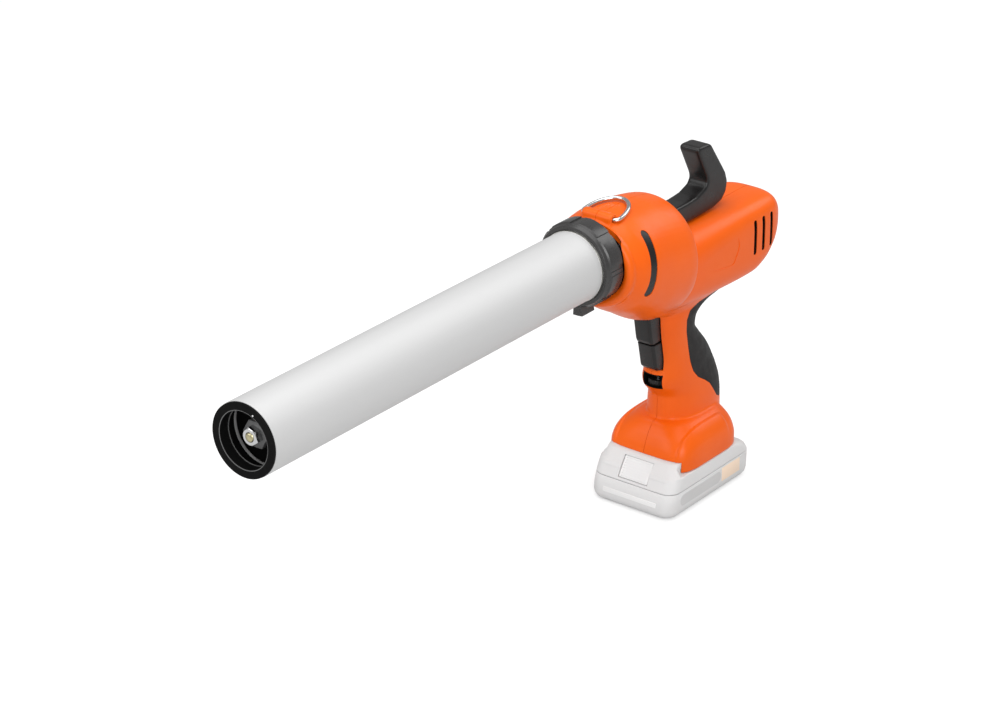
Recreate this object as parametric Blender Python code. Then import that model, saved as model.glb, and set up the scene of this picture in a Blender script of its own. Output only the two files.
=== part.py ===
"""Cordless caulking gun for foil packs, built as an assembly of its real pieces.

Units are metres and +Z is up. The origin is the middle of the flat underside of the
battery, on which the tool stands. The barrel points along -X, the tool's left side is -Y.
Each piece is one closed solid, and pieces that touch keep a small gap to each other.
"""
import math

import bmesh
import bpy
from mathutils import Matrix, Vector

# ---------------------------------------------------------------- general fits
GAP = 0.0003            # between pieces that rest on each other
RUN = 0.0006            # round a piece that moves
AXIS_Z = 0.232          # height of the barrel's axis above the battery's underside
ROUND = 40              # facets round a large turned piece
SMALL_ROUND = 16        # facets round a small one
BODY_ROUND = 26         # facets round a section of the housing

# ---------------------------------------------------------------- barrel
TUBE_RADIUS = 0.027
TUBE_WALL = 0.0012
TUBE_LENGTH = 0.3625
TUBE_REAR_X = -0.1347   # rear end of the tube, against the adaptor
RIM_WIDTH = 0.0022      # how far the rear rim stands out of the tube
RIM_THICK = 0.002
ADAPTOR_NECK = 0.0175   # radius of the adaptor where the housing clamps it
BEAD_GAP = 0.0006       # from the spigot's shoulder to the housing
COLLAR_LENGTH = 0.0175
COLLAR_WALL = 0.0021
PAD_RISE = 0.0009       # height of the finger pads on the collar nut and the front cap
COLLAR_PADS = 8
CAP_LENGTH = 0.0225
CAP_RIM = 0.0056        # radial thickness of the cap's skirt
CAP_FACE = 0.0032
CAP_HOLE_RADIUS = 0.019
CAP_PADS = 6
CAP_PAD_SHARE = 0.45
CAP_NOTCH = 0.0030      # depth of the two nozzle notches in the cap's hole
RING_BORE = TUBE_RADIUS - 0.0057
RING_LENGTH = 0.0095

# ---------------------------------------------------------------- piston and rack
PISTON_LENGTH = 0.015
PISTON_FRONT = 0.0225   # from the cap's front face to the piston's front face
HEX_BOSS = 0.0185       # across the flats of the black hexagon on the piston
HEX_BOSS_LENGTH = 0.0075
NUT_FLATS = 0.0118
NUT_LENGTH = 0.005
STUD_RADIUS = 0.003
RACK_WIDTH = 0.011
RACK_TOP = 0.0055       # above the barrel's axis
RACK_PITCH = 0.005
RACK_ADDENDUM = 0.0015
RACK_DEDENDUM = 0.002
RACK_PITCH_LINE = -0.0045
TOOTH_HALF = 0.001      # half a tooth's thickness at the pitch line
PINION_TEETH = 12
PINION_X = -0.074
PINION_WIDTH = 0.0125
SHAFT_RADIUS = 0.004
SHAFT_LENGTH = 0.044
PLATE_THICK = 0.003

# ---------------------------------------------------------------- pull handle
HANDLE_FRONT_X = -0.0335
HANDLE_HALF = 0.0092
SOCKET_DEPTH = 0.020
PIN_RADIUS = 0.002

# ---------------------------------------------------------------- housing
WALL = 0.0026
GRIP_PAD = 0.003        # thickness of the soft grip
SEAM = 0.0003           # gap between the two halves
BOSS_RADIUS = 0.0046
SCREW_SHANK = 0.0014
SCREW_HEAD = 0.0028
SCREW_HEAD_LENGTH = 0.0022
SCREW_SINK = 0.0046     # from the housing's surface to the underside of a screw head
ROD_HOLE = 0.0105
BUSHING_WALL = 0.0015
VENT_WIDTH = 0.0042
VENT_X = (0.0570, 0.0685, 0.0800)
VENT_LOW_Z = 0.1825
VENT_HIGH_Z = 0.2110
SLOT_TOP = (-0.0955, 0.2495)
SLOT_LOW = (-0.1010, 0.2085)
SLOT_WIDTH = 0.0052
INSERT_SINK = 0.0008
LUG_X = -0.1080
LUG_Z = 0.2610
LUG_RADIUS = 0.0046
LUG_HALF = 0.013
RING_WIRE = 0.0016
RING_REACH = 0.029
RING_TILT = 9.0         # degrees that the ring leans up from lying flat

# Cross-sections: (position, low, high, half width, roundness). A roundness of 2 is an
# ellipse, and larger values are squarer.
DOME = (
    (-0.1190, 0.1965, 0.2560, 0.0335, 2.0),
    (-0.1160, 0.1935, 0.2572, 0.0370, 2.0),
    (-0.1110, 0.1900, 0.2595, 0.0400, 2.0),
    (-0.1030, 0.1845, 0.2618, 0.0432, 2.05),
    (-0.0890, 0.1760, 0.2632, 0.0450, 2.1),
    (-0.0670, 0.1640, 0.2625, 0.0452, 2.1),
    (-0.0520, 0.1620, 0.2602, 0.0446, 2.1),
    (-0.0420, 0.1640, 0.2577, 0.0437, 2.05),
    (-0.0365, 0.1700, 0.2525, 0.0385, 2.0),
)
MOTOR = (
    (-0.0620, 0.1630, 0.2200, 0.0280, 2.6),
    (-0.0220, 0.1612, 0.2222, 0.0302, 2.9),
    (0.0250, 0.1608, 0.2229, 0.0306, 3.4),
    (0.0620, 0.1614, 0.2231, 0.0307, 3.8),
    (0.0760, 0.1646, 0.2232, 0.0304, 3.9),
    (0.0870, 0.1716, 0.2229, 0.0294, 3.6),
    (0.0950, 0.1792, 0.2210, 0.0266, 3.0),
    (0.0995, 0.1860, 0.2165, 0.0220, 2.5),
    (0.1015, 0.1915, 0.2110, 0.0165, 2.2),
)
GRIP = (
    (0.1990, -0.0960, 0.0600, 0.0260, 2.6),
    (0.1820, -0.0900, 0.0640, 0.0260, 2.6),
    (0.1720, -0.0760, 0.0680, 0.0250, 2.6),
    (0.1650, -0.0650, 0.0720, 0.0225, 2.5),
    (0.1600, -0.0560, 0.0745, 0.0195, 2.4),
    (0.1580, -0.0430, 0.0620, 0.0185, 2.4),
    (0.1560, -0.0405, 0.0400, 0.0178, 2.4),
    (0.1520, -0.0398, 0.0200, 0.0175, 2.4),
    (0.1470, -0.0390, 0.0110, 0.0172, 2.4),
    (0.1390, -0.0378, 0.0085, 0.0170, 2.4),
    (0.1300, -0.0362, 0.0150, 0.0170, 2.4),
    (0.1180, -0.0345, 0.0260, 0.0172, 2.4),
    (0.1100, -0.0355, 0.0318, 0.0175, 2.4),
    (0.1020, -0.0380, 0.0365, 0.0180, 2.4),
    (0.0960, -0.0365, 0.0397, 0.0185, 2.4),
    (0.0900, -0.0310, 0.0418, 0.0192, 2.4),
    (0.0850, -0.0275, 0.0434, 0.0198, 2.4),
    (0.0740, -0.0275, 0.0450, 0.0208, 2.4),
    (0.0600, -0.0275, 0.0455, 0.0213, 2.4),
)
FOOT = (
    (0.0650, -0.0120, 0.0320, 0.0220, 3.0),
    (0.0620, -0.0170, 0.0340, 0.0290, 3.0),
    (0.0580, -0.0240, 0.0352, 0.0332, 3.2),
    (0.0535, -0.0315, 0.0360, 0.0360, 3.8),
    (0.0485, -0.0395, 0.0362, 0.0377, 4.5),
    (0.0430, -0.0445, 0.0363, 0.0385, 5.0),
    (0.0335, -0.0455, 0.0363, 0.0386, 5.0),
)
FOOT_FRONT_Z = 0.0425   # the foot's lower edge between its two side cheeks
CHEEK = 0.0055
# Side outline of the soft grip, x and z.
PAD_OUTLINE = (
    (0.0760, 0.1605), (0.0570, 0.1590), (0.0340, 0.1592), (0.0130, 0.1595), (-0.0010, 0.1600),
    (-0.0115, 0.1560), (-0.0148, 0.1490), (-0.0145, 0.1390), (-0.0120, 0.1270), (-0.0085, 0.1120),
    (-0.0050, 0.1030), (0.0010, 0.0960), (0.0090, 0.0910), (0.0155, 0.0860), (0.0205, 0.0790),
    (0.0260, 0.0715), (0.0320, 0.0680), (0.0600, 0.0655), (0.0700, 0.1200), (0.0860, 0.1500),
)

# ---------------------------------------------------------------- triggers and dial
TRIGGER_HALF = 0.0078
UPPER_TRIGGER = (
    (-0.0525, 0.1600), (-0.0520, 0.1575), (-0.0485, 0.1395), (-0.0470, 0.1368),
    (-0.0280, 0.1368), (-0.0280, 0.1600),
)
LOWER_TRIGGER = (
    (-0.0463, 0.1352), (-0.0455, 0.1330), (-0.0415, 0.1150), (-0.0380, 0.1118),
    (-0.0240, 0.1118), (-0.0240, 0.1352),
)
TRIGGER_EDGE = 0.0016
TRIGGER_TRAVEL = 0.006
DIAL_RADIUS = 0.0084
DIAL_THICK = 0.0046
DIAL_X = -0.0262
DIAL_Z = 0.0985
DIAL_WINDOW = (0.0952, 0.1070)
DIAL_GRIPS = 18

# ---------------------------------------------------------------- motor and gears
MOTOR_Z = 0.190
MOTOR_RADIUS = 0.0185
MOTOR_X = (-0.012, 0.043)
CAN_WALL = 0.0015
ROTOR_RADIUS = 0.0125
MOTOR_SHAFT = 0.0025
FAN_X = (0.046, 0.053)
FAN_RADIUS = 0.0165
FAN_BLADES = 9
GEARBOX_X = (-0.050, -0.0135)
GEARBOX_RADIUS = 0.019

# ---------------------------------------------------------------- battery
BATTERY_FRONT = -0.0635
BATTERY_REAR = 0.0510
BATTERY_HALF = 0.0385
TRAY_TOP = 0.0215
RAIL_TOP = 0.0419       # low enough to pass the foot's front edge
RAIL_HALF = 0.0270
BATTERY_WALL = 0.0024
CELL_RADIUS = 0.0092
CELL_LENGTH = 0.0655
CELL_COUNT = 5
BUTTON_HALF = 0.0132
BUTTON_Z = (0.0242, 0.0389)
BUTTON_THICK = 0.005
BUTTON_TRAVEL = 0.0025

COLOURS = {
    "shell": ((0.90, 0.17, 0.02), 0.42, 0.0),
    "black": ((0.020, 0.019, 0.018), 0.40, 0.0),
    "soft": ((0.022, 0.020, 0.020), 0.85, 0.0),
    "tube": ((0.62, 0.62, 0.61), 0.38, 0.85),
    "steel": ((0.60, 0.60, 0.60), 0.22, 1.0),
    "brass": ((0.72, 0.60, 0.32), 0.35, 1.0),
    "grey": ((0.66, 0.66, 0.67), 0.45, 0.0),
    "green": ((0.10, 0.32, 0.30), 0.45, 0.0),
}


# ------------------------------------------------------------------ helpers
def clear_scene():
    """Remove every object of the open scene."""
    for item in list(bpy.data.objects):
        bpy.data.objects.remove(item)


def make_material(name, colour):
    """One Principled material for one piece."""
    base, roughness, metallic = COLOURS[colour]
    material = bpy.data.materials.new(name)
    material.use_nodes = True
    shader = material.node_tree.nodes["Principled BSDF"]
    shader.inputs["Base Color"].default_value = (*base, 1.0)
    shader.inputs["Roughness"].default_value = roughness
    shader.inputs["Metallic"].default_value = metallic
    return material


def piece(name, bm, colour, origin=(0.0, 0.0, 0.0), sharp=35.0):
    """Turn a bmesh in world coordinates into a named object with its origin on a point."""
    bmesh.ops.recalc_face_normals(bm, faces=bm.faces)
    shift = Vector(origin)
    bmesh.ops.translate(bm, verts=bm.verts, vec=-shift)
    mesh = bpy.data.meshes.new(name)
    bm.to_mesh(mesh)
    bm.free()
    item = bpy.data.objects.new(name, mesh)
    item.location = shift
    bpy.context.scene.collection.objects.link(item)
    mesh.materials.append(make_material(name, colour))
    mesh.shade_smooth()
    mesh.set_sharp_from_angle(angle=math.radians(sharp))
    return item


def boolean(target, tool, operation):
    """Combine a tool with a target for good, and take the tool away."""
    bpy.context.view_layer.update()
    modifier = target.modifiers.new("combine", "BOOLEAN")
    modifier.operation = operation
    modifier.solver = "EXACT"
    modifier.object = tool
    graph = bpy.context.evaluated_depsgraph_get()
    result = bpy.data.meshes.new_from_object(target.evaluated_get(graph))
    target.modifiers.clear()
    old = target.data
    target.data = result
    bpy.data.meshes.remove(old)
    bpy.data.objects.remove(tool)
    return target


def copy_of(item, name):
    """A separate object with its own copy of the mesh."""
    twin = item.copy()
    twin.data = item.data.copy()
    twin.name = name
    bpy.context.scene.collection.objects.link(twin)
    return twin


def rename(item, name, colour):
    """Give a finished solid its node name and its own material."""
    item.name = name
    item.data.name = name
    item.data.materials.clear()
    item.data.materials.append(make_material(name, colour))
    item.data.shade_smooth()
    item.data.set_sharp_from_angle(angle=math.radians(35.0))
    return item


def ring_points(section, along, inset, count):
    """Points round one superellipse section of a body that runs along X or Z."""
    position, low, high, half_width, power = section
    middle = 0.5 * (low + high)
    half_height = 0.5 * (high - low) - inset
    half_width = half_width - inset
    points = []
    for step in range(count):
        angle = math.tau * (step + 0.5) / count
        cosine = math.cos(angle)
        sine = math.sin(angle)
        side = half_width * math.copysign(abs(cosine) ** (2.0 / power), cosine)
        rise = half_height * math.copysign(abs(sine) ** (2.0 / power), sine)
        if along == "X":
            points.append((position, side, middle + rise))
        else:
            points.append((middle + rise, side, position))
    return points


def loft(sections, along, inset=0.0, count=BODY_ROUND, ends=(True, True)):
    """A closed bmesh through the sections, shrunk by the inset on all of its sides."""
    bm = bmesh.new()
    direction = math.copysign(1.0, sections[-1][0] - sections[0][0])
    loops = []
    last = len(sections) - 1
    for number, section in enumerate(sections):
        position = section[0]
        if number == 0 and ends[0]:
            position += direction * inset
        if number == last and ends[1]:
            position -= direction * inset
        placed = (position, *section[1:])
        loops.append([bm.verts.new(point) for point in ring_points(placed, along, inset, count)])
    for first, second in zip(loops, loops[1:]):
        for step in range(count):
            after = (step + 1) % count
            bm.faces.new((first[step], first[after], second[after], second[step]))
    bm.faces.new(loops[0])
    bm.faces.new(reversed(loops[-1]))
    bmesh.ops.recalc_face_normals(bm, faces=bm.faces)
    bmesh.ops.triangulate(bm, faces=bm.faces)
    return bm


def half_width_at(sections, position, height):
    """Half width of a lofted body at a place in its side view, or 0 outside it."""
    ordered = sorted(sections)
    for first, second in zip(ordered, ordered[1:]):
        if first[0] <= position <= second[0]:
            share = (position - first[0]) / (second[0] - first[0])
            mixed = [a + share * (b - a) for a, b in zip(first, second)]
            middle = 0.5 * (mixed[1] + mixed[2])
            part = abs(height - middle) / (0.5 * (mixed[2] - mixed[1]))
            if part >= 1.0:
                return 0.0
            return mixed[3] * (1.0 - part ** mixed[4]) ** (1.0 / mixed[4])
    return 0.0


def turned(profile, axis="X", centre=(0.0, 0.0, 0.0), segments=ROUND):
    """Spin a closed profile of (along, radius) points once round an axis through centre."""
    bm = bmesh.new()
    loops = []
    on_axis = {}
    for step in range(segments):
        angle = math.tau * step / segments
        loop = []
        for number, (along, radius) in enumerate(profile):
            if radius == 0.0 and number in on_axis:
                loop.append(on_axis[number])
                continue
            first = radius * math.cos(angle)
            second = radius * math.sin(angle)
            if axis == "X":
                place = (along, first, second)
            elif axis == "Y":
                place = (first, along, second)
            else:
                place = (first, second, along)
            vert = bm.verts.new(Vector(place) + Vector(centre))
            if radius == 0.0:
                on_axis[number] = vert
            loop.append(vert)
        loops.append(loop)
    size = len(profile)
    for step in range(segments):
        first = loops[step]
        second = loops[(step + 1) % segments]
        for number in range(size):
            after = (number + 1) % size
            corners = []
            for vert in (first[number], second[number], second[after], first[after]):
                if vert not in corners:
                    corners.append(vert)
            if len(corners) > 2:
                bm.faces.new(corners)
    bmesh.ops.recalc_face_normals(bm, faces=bm.faces)
    return bm


def prism(outline, low, high, across="Y"):
    """Extrude an outline: (x, z) across Y, (y, z) across X, or (x, y) across Z."""
    bm = bmesh.new()
    sides = []
    for level in (low, high):
        if across == "Y":
            places = [(u, level, v) for u, v in outline]
        elif across == "X":
            places = [(level, u, v) for u, v in outline]
        else:
            places = [(u, v, level) for u, v in outline]
        sides.append([bm.verts.new(place) for place in places])
    bottom, top = sides
    bm.faces.new(bottom)
    bm.faces.new(reversed(top))
    for step in range(len(outline)):
        after = (step + 1) % len(outline)
        bm.faces.new((bottom[step], top[step], top[after], bottom[after]))
    bmesh.ops.recalc_face_normals(bm, faces=bm.faces)
    return bm


def block(low, high):
    """A box between two corners."""
    bm = bmesh.new()
    bmesh.ops.create_cube(bm, size=1.0)
    size = Vector(high) - Vector(low)
    bmesh.ops.scale(bm, verts=bm.verts, vec=size)
    bmesh.ops.translate(bm, verts=bm.verts, vec=(Vector(high) + Vector(low)) / 2.0)
    return bm


def rod(radius, low, high, axis, centre, segments=SMALL_ROUND):
    """A plain round bar along an axis through centre."""
    return turned([(low, 0.0), (low, radius), (high, radius), (high, 0.0)], axis, centre, segments)


def sleeve(inner, outer, low, high, axis, centre, segments=ROUND):
    """A plain round tube along an axis through centre."""
    profile = [(low, inner), (low, outer), (high, outer), (high, inner)]
    return turned(profile, axis, centre, segments)


def tool(bm):
    """A solid that only cuts or adds to another one."""
    return piece("tool", bm, "black")


def cut(target, bm):
    """Cut a bmesh away from a solid."""
    return boolean(target, tool(bm), "DIFFERENCE")


def join(target, bm):
    """Add a bmesh to a solid."""
    return boolean(target, tool(bm), "UNION")


def capsule(first, second, width, turns=8):
    """Outline of a straight slot with round ends between two centre points."""
    start = Vector(first)
    end = Vector(second)
    along = (end - start).normalized()
    heading = math.atan2(along.y, along.x)
    radius = 0.5 * width
    points = []
    for centre, base in ((end, heading - math.pi / 2.0), (start, heading + math.pi / 2.0)):
        for step in range(turns + 1):
            angle = base + math.pi * step / turns
            offset = Vector((math.cos(angle), math.sin(angle))) * radius
            points.append(tuple(centre + offset))
    return points


def hexagon(flats, turn=0.0):
    """Corner points of a hexagon, in the plane across the barrel."""
    radius = flats / math.sqrt(3.0)
    points = []
    for step in range(6):
        angle = math.tau * step / 6.0 + turn
        points.append((radius * math.cos(angle), AXIS_Z + radius * math.sin(angle)))
    return points


def padded_outline(radius, rise, pads, share, phase=0.0, count=96):
    """Round outline across the barrel with raised finger pads, as (y, z) points."""
    points = []
    for step in range(count):
        place = pads * step / count + phase
        raised = place - math.floor(place) < share
        reach = radius + (rise if raised else 0.0)
        angle = math.tau * step / count
        points.append((reach * math.cos(angle), AXIS_Z + reach * math.sin(angle)))
    return points


# ------------------------------------------------------------------ barrel
TUBE_FRONT_X = TUBE_REAR_X - TUBE_LENGTH
TUBE_BORE = TUBE_RADIUS - TUBE_WALL
CAP_FRONT_X = TUBE_FRONT_X - GAP - 0.0015 - GAP - CAP_FACE
SPIGOT_RADIUS = TUBE_RADIUS + RIM_WIDTH
COLLAR_BORE = SPIGOT_RADIUS + RUN
COLLAR_RADIUS = COLLAR_BORE + COLLAR_WALL
COLLAR_FRONT_X = TUBE_REAR_X - RIM_THICK - GAP - 0.003
HUB = (0.0, 0.0, AXIS_Z)


def barrel_tube():
    """Aluminium tube with the rim at its rear that the collar nut pulls on."""
    rim_front = TUBE_REAR_X - RIM_THICK
    profile = [
        (TUBE_FRONT_X, TUBE_BORE), (TUBE_FRONT_X, TUBE_RADIUS), (rim_front, TUBE_RADIUS),
        (rim_front, TUBE_RADIUS + RIM_WIDTH), (TUBE_REAR_X, TUBE_RADIUS + RIM_WIDTH),
        (TUBE_REAR_X, TUBE_BORE),
    ]
    return piece("barrel_tube", turned(profile, centre=HUB), "tube", HUB)


def front_cap():
    """Screwed cap with finger pads and a hole with two notches for the nozzle."""
    skirt = TUBE_RADIUS + CAP_RIM
    rear = CAP_FRONT_X + CAP_LENGTH
    outline = padded_outline(skirt, PAD_RISE, CAP_PADS, CAP_PAD_SHARE, CAP_PAD_SHARE / 2.0)
    item = piece("front_cap", prism(outline, CAP_FRONT_X, rear - 0.0016, "X"), "black", HUB)
    join(item, sleeve(TUBE_RADIUS + 0.002, skirt + PAD_RISE + 0.0006, rear - 0.0026, rear, "X", HUB))
    bore = [(CAP_FRONT_X + CAP_FACE, 0.0), (CAP_FRONT_X + CAP_FACE, TUBE_RADIUS + RUN),
            (rear + 0.001, TUBE_RADIUS + RUN), (rear + 0.001, 0.0)]
    cut(item, turned(bore, centre=HUB))
    cut(item, rod(CAP_HOLE_RADIUS, CAP_FRONT_X - 0.001, CAP_FRONT_X + 0.006, "X", HUB, ROUND))
    reach = CAP_HOLE_RADIUS + CAP_NOTCH
    notch = block((CAP_FRONT_X + 0.0014, -0.0073, AXIS_Z - reach),
                  (CAP_FRONT_X + 0.006, 0.0073, AXIS_Z + reach))
    bmesh.ops.rotate(notch, verts=notch.verts, cent=HUB, matrix=Matrix.Rotation(math.radians(30.0), 3, "X"))
    cut(item, notch)
    return item


def nozzle_ring():
    """Loose ring in the cap that presses the nozzle and the foil pack home."""
    front = TUBE_FRONT_X - GAP - 0.0015
    sleeve_radius = TUBE_BORE - RUN
    profile = [
        (front, RING_BORE), (front, TUBE_RADIUS - 0.0003), (front + 0.0015, TUBE_RADIUS - 0.0003),
        (front + 0.0015, sleeve_radius), (front + RING_LENGTH, sleeve_radius),
        (front + RING_LENGTH, RING_BORE),
    ]
    return piece("nozzle_ring", turned(profile, centre=HUB), "black", HUB)


def collar_nut():
    """Ring nut that holds the barrel on the threaded spigot."""
    rear = COLLAR_FRONT_X + COLLAR_LENGTH
    outline = padded_outline(COLLAR_RADIUS, PAD_RISE, COLLAR_PADS, 0.72)
    item = piece("collar_nut", prism(outline, COLLAR_FRONT_X, rear, "X"), "black", HUB)
    lip = COLLAR_FRONT_X + 0.003
    bore = [(lip, 0.0), (lip, COLLAR_BORE), (rear + 0.001, COLLAR_BORE), (rear + 0.001, 0.0)]
    cut(item, turned(bore, centre=HUB))
    cut(item, rod(TUBE_RADIUS + RUN, COLLAR_FRONT_X - 0.001, lip + 0.001, "X", HUB, ROUND))
    return item


def barrel_adaptor():
    """Threaded spigot that carries the barrel, clamped in the housing's front wall."""
    front = TUBE_REAR_X + GAP
    shoulder = DOME[0][0] - BEAD_GAP
    inside = DOME[0][0] + WALL + GAP
    neck = ADAPTOR_NECK
    bore = math.hypot(RACK_WIDTH / 2.0, RACK_TOP + 0.001) + RUN
    profile = [
        (front, TUBE_BORE), (front, SPIGOT_RADIUS - GAP), (shoulder, SPIGOT_RADIUS - GAP),
        (shoulder, neck), (inside, neck), (inside, neck + 0.003), (inside + 0.003, neck + 0.003),
        (inside + 0.003, bore), (shoulder - 0.004, bore), (shoulder - 0.004, TUBE_BORE),
    ]
    return piece("barrel_adaptor", turned(profile, centre=HUB), "black", HUB)


# ------------------------------------------------------------------ piston, rack, handle
PISTON_X = CAP_FRONT_X + PISTON_FRONT
RACK_FRONT_X = PISTON_X + PISTON_LENGTH + GAP
RACK_REAR_X = HANDLE_FRONT_X + SOCKET_DEPTH - GAP
PITCH_RADIUS = PINION_TEETH * RACK_PITCH / math.tau
PINION_Z = AXIS_Z + RACK_PITCH_LINE - PITCH_RADIUS


def piston():
    """Black piston disc with a hexagonal boss in front and a bore for its stud."""
    radius = TUBE_BORE - RUN
    rear = PISTON_X + PISTON_LENGTH
    profile = [
        (PISTON_X, 0.0), (PISTON_X, radius - 0.0025), (PISTON_X + 0.0025, radius),
        (rear - 0.005, radius), (rear - 0.005, radius - 0.002), (rear, radius - 0.002), (rear, 0.0),
    ]
    item = piece("piston", turned(profile, centre=HUB), "black", HUB)
    join(item, prism(hexagon(HEX_BOSS), PISTON_X - HEX_BOSS_LENGTH, PISTON_X + 0.002, "X"))
    cut(item, rod(STUD_RADIUS + GAP, PISTON_X - 0.02, rear + 0.001, "X", HUB))
    return item


def piston_fastening():
    """Stud that screws into the rack and the hexagon nut on it."""
    boss = PISTON_X - HEX_BOSS_LENGTH
    nut = piece("piston_nut", prism(hexagon(NUT_FLATS, 0.3), boss - GAP - NUT_LENGTH, boss - GAP, "X"),
                "steel", HUB)
    cut(nut, rod(STUD_RADIUS + GAP, boss - 0.02, boss + 0.01, "X", HUB))
    rear = PISTON_X + PISTON_LENGTH
    piece("piston_stud", rod(STUD_RADIUS, boss - NUT_LENGTH - 0.0016, rear, "X", HUB), "brass", HUB)


def rack_rod():
    """Steel rack: a square bar with teeth along its underside."""
    pitch_line = AXIS_Z + RACK_PITCH_LINE
    tip = pitch_line - RACK_ADDENDUM
    root = pitch_line + RACK_DEDENDUM
    slope = math.tan(math.radians(20.0))
    half_tip = TOOTH_HALF - RACK_ADDENDUM * slope
    half_root = TOOTH_HALF + RACK_DEDENDUM * slope
    outline = [(RACK_FRONT_X, AXIS_Z + RACK_TOP), (RACK_FRONT_X, tip)]
    first = math.ceil((RACK_FRONT_X + 0.010 - PINION_X) / RACK_PITCH)
    last = math.floor((RACK_REAR_X - SOCKET_DEPTH - 0.004 - PINION_X) / RACK_PITCH)
    start = PINION_X + (first + 0.5) * RACK_PITCH
    outline.append((start - RACK_PITCH + half_root, tip))
    outline.append((start - RACK_PITCH + half_root, root))
    for number in range(first, last):
        middle = PINION_X + (number + 0.5) * RACK_PITCH
        outline.append((middle - half_root, root))
        outline.append((middle - half_tip, tip))
        outline.append((middle + half_tip, tip))
        outline.append((middle + half_root, root))
    end = PINION_X + (last + 0.5) * RACK_PITCH - half_root
    outline.append((end, root))
    outline.append((end, tip))
    outline.append((RACK_REAR_X, tip))
    outline.append((RACK_REAR_X, AXIS_Z + RACK_TOP))
    item = piece("rack_rod", prism(outline, -RACK_WIDTH / 2.0, RACK_WIDTH / 2.0), "steel", HUB)
    pin_x = HANDLE_FRONT_X + SOCKET_DEPTH / 2.0
    cut(item, rod(PIN_RADIUS + GAP, -0.02, 0.02, "Y", (pin_x, 0.0, AXIS_Z)))
    return item


def pull_handle():
    """Hooked finger pull on the rear end of the rack, with a socket for the rack."""
    outline = (
        (HANDLE_FRONT_X, 0.2240), (0.0080, 0.2242), (0.0300, 0.2250), (0.0410, 0.2275),
        (0.0470, 0.2335), (0.0485, 0.2420), (0.0455, 0.2500), (0.0250, 0.2785), (0.0215, 0.2798),
        (0.0085, 0.2803), (0.0065, 0.2775), (0.0200, 0.2530), (0.0210, 0.2490), (0.0180, 0.2450),
        (0.0070, 0.2412), (-0.0060, 0.2402), (HANDLE_FRONT_X, 0.2400),
    )
    bm = prism(outline, -HANDLE_HALF, HANDLE_HALF)
    sides = [edge for edge in bm.edges if abs(edge.verts[0].co.y - edge.verts[1].co.y) < 1e-6]
    bmesh.ops.bevel(bm, geom=sides, offset=0.0030, segments=2, profile=0.5, affect="EDGES")
    item = piece("pull_handle", bm, "black", (HANDLE_FRONT_X, 0.0, AXIS_Z))
    tip = AXIS_Z + RACK_PITCH_LINE - RACK_ADDENDUM
    half = RACK_WIDTH / 2.0 + GAP
    cut(item, block((HANDLE_FRONT_X - 0.01, -half, tip - GAP),
                    (HANDLE_FRONT_X + SOCKET_DEPTH, half, AXIS_Z + RACK_TOP + GAP)))
    pin = (HANDLE_FRONT_X + SOCKET_DEPTH / 2.0, 0.0, AXIS_Z)
    cut(item, rod(PIN_RADIUS + GAP, -0.02, 0.02, "Y", pin))
    reach = HANDLE_HALF - 0.0004
    piece("handle_pin", rod(PIN_RADIUS, -reach, reach, "Y", pin), "steel", pin)
    return item


def pinion():
    """Gear under the rack, on a cross shaft held by two frame plates."""
    points = []
    for number in range(PINION_TEETH):
        middle = math.tau * number / PINION_TEETH + math.pi / 2.0
        corners = (
            (PITCH_RADIUS - RACK_DEDENDUM, -0.0016), (PITCH_RADIUS, -TOOTH_HALF),
            (PITCH_RADIUS + RACK_ADDENDUM, -0.00055), (PITCH_RADIUS + RACK_ADDENDUM, 0.00055),
            (PITCH_RADIUS, TOOTH_HALF), (PITCH_RADIUS - RACK_DEDENDUM, 0.0016),
        )
        for radius, offset in corners:
            angle = middle + offset / radius
            points.append((PINION_X + radius * math.cos(angle), PINION_Z + radius * math.sin(angle)))
    centre = (PINION_X, 0.0, PINION_Z)
    half = PINION_WIDTH / 2.0
    item = piece("pinion", prism(points, -half, half), "steel", centre)
    cut(item, rod(SHAFT_RADIUS + GAP, -0.03, 0.03, "Y", centre))
    piece("pinion_shaft", rod(SHAFT_RADIUS, -SHAFT_LENGTH / 2.0, SHAFT_LENGTH / 2.0, "Y", centre),
          "steel", centre)


def frame_plates():
    """Two steel plates that carry the pinion's shaft beside the rack."""
    inner = PINION_WIDTH / 2.0 + 0.0015
    for name, side in (("frame_plate_left", -1.0), ("frame_plate_right", 1.0)):
        low, high = sorted((side * inner, side * (inner + PLATE_THICK)))
        plate = piece(name, block((-0.094, low, PINION_Z - 0.016), (-0.0535, high, PINION_Z + 0.0215)),
                      "steel", (PINION_X, side * inner, PINION_Z))
        cut(plate, rod(SHAFT_RADIUS + RUN, -0.03, 0.03, "Y", (PINION_X, 0.0, PINION_Z)))
        boss = "shaft_bearing_left" if side < 0.0 else "shaft_bearing_right"
        low, high = sorted((side * (inner + PLATE_THICK + GAP), side * (inner + PLATE_THICK + 0.006)))
        centre = (PINION_X, 0.0, PINION_Z)
        piece(boss, sleeve(SHAFT_RADIUS + RUN, SHAFT_RADIUS + 0.0042, low, high, "Y", centre, 24),
              "brass", centre)


# ------------------------------------------------------------------ housing
LUG_PIN = (LUG_X, 0.0, LUG_Z)


def body_solid(inset):
    """The housing's outer shape, or the same shape shrunk by an inset."""
    body = piece("body", loft(DOME, "X", inset), "shell")
    join(body, loft(MOTOR, "X", inset))
    return join(body, loft(GRIP, "Z", inset))


def pad_region(grow):
    """Side outline of the soft grip as a solid right across the tool."""
    middle = Vector((0.02, 0.11))
    points = []
    for place in PAD_OUTLINE:
        away = Vector(place) - middle
        points.append(tuple(middle + away * (1.0 + grow / away.length)))
    return prism(points, -0.05, 0.05)


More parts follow.
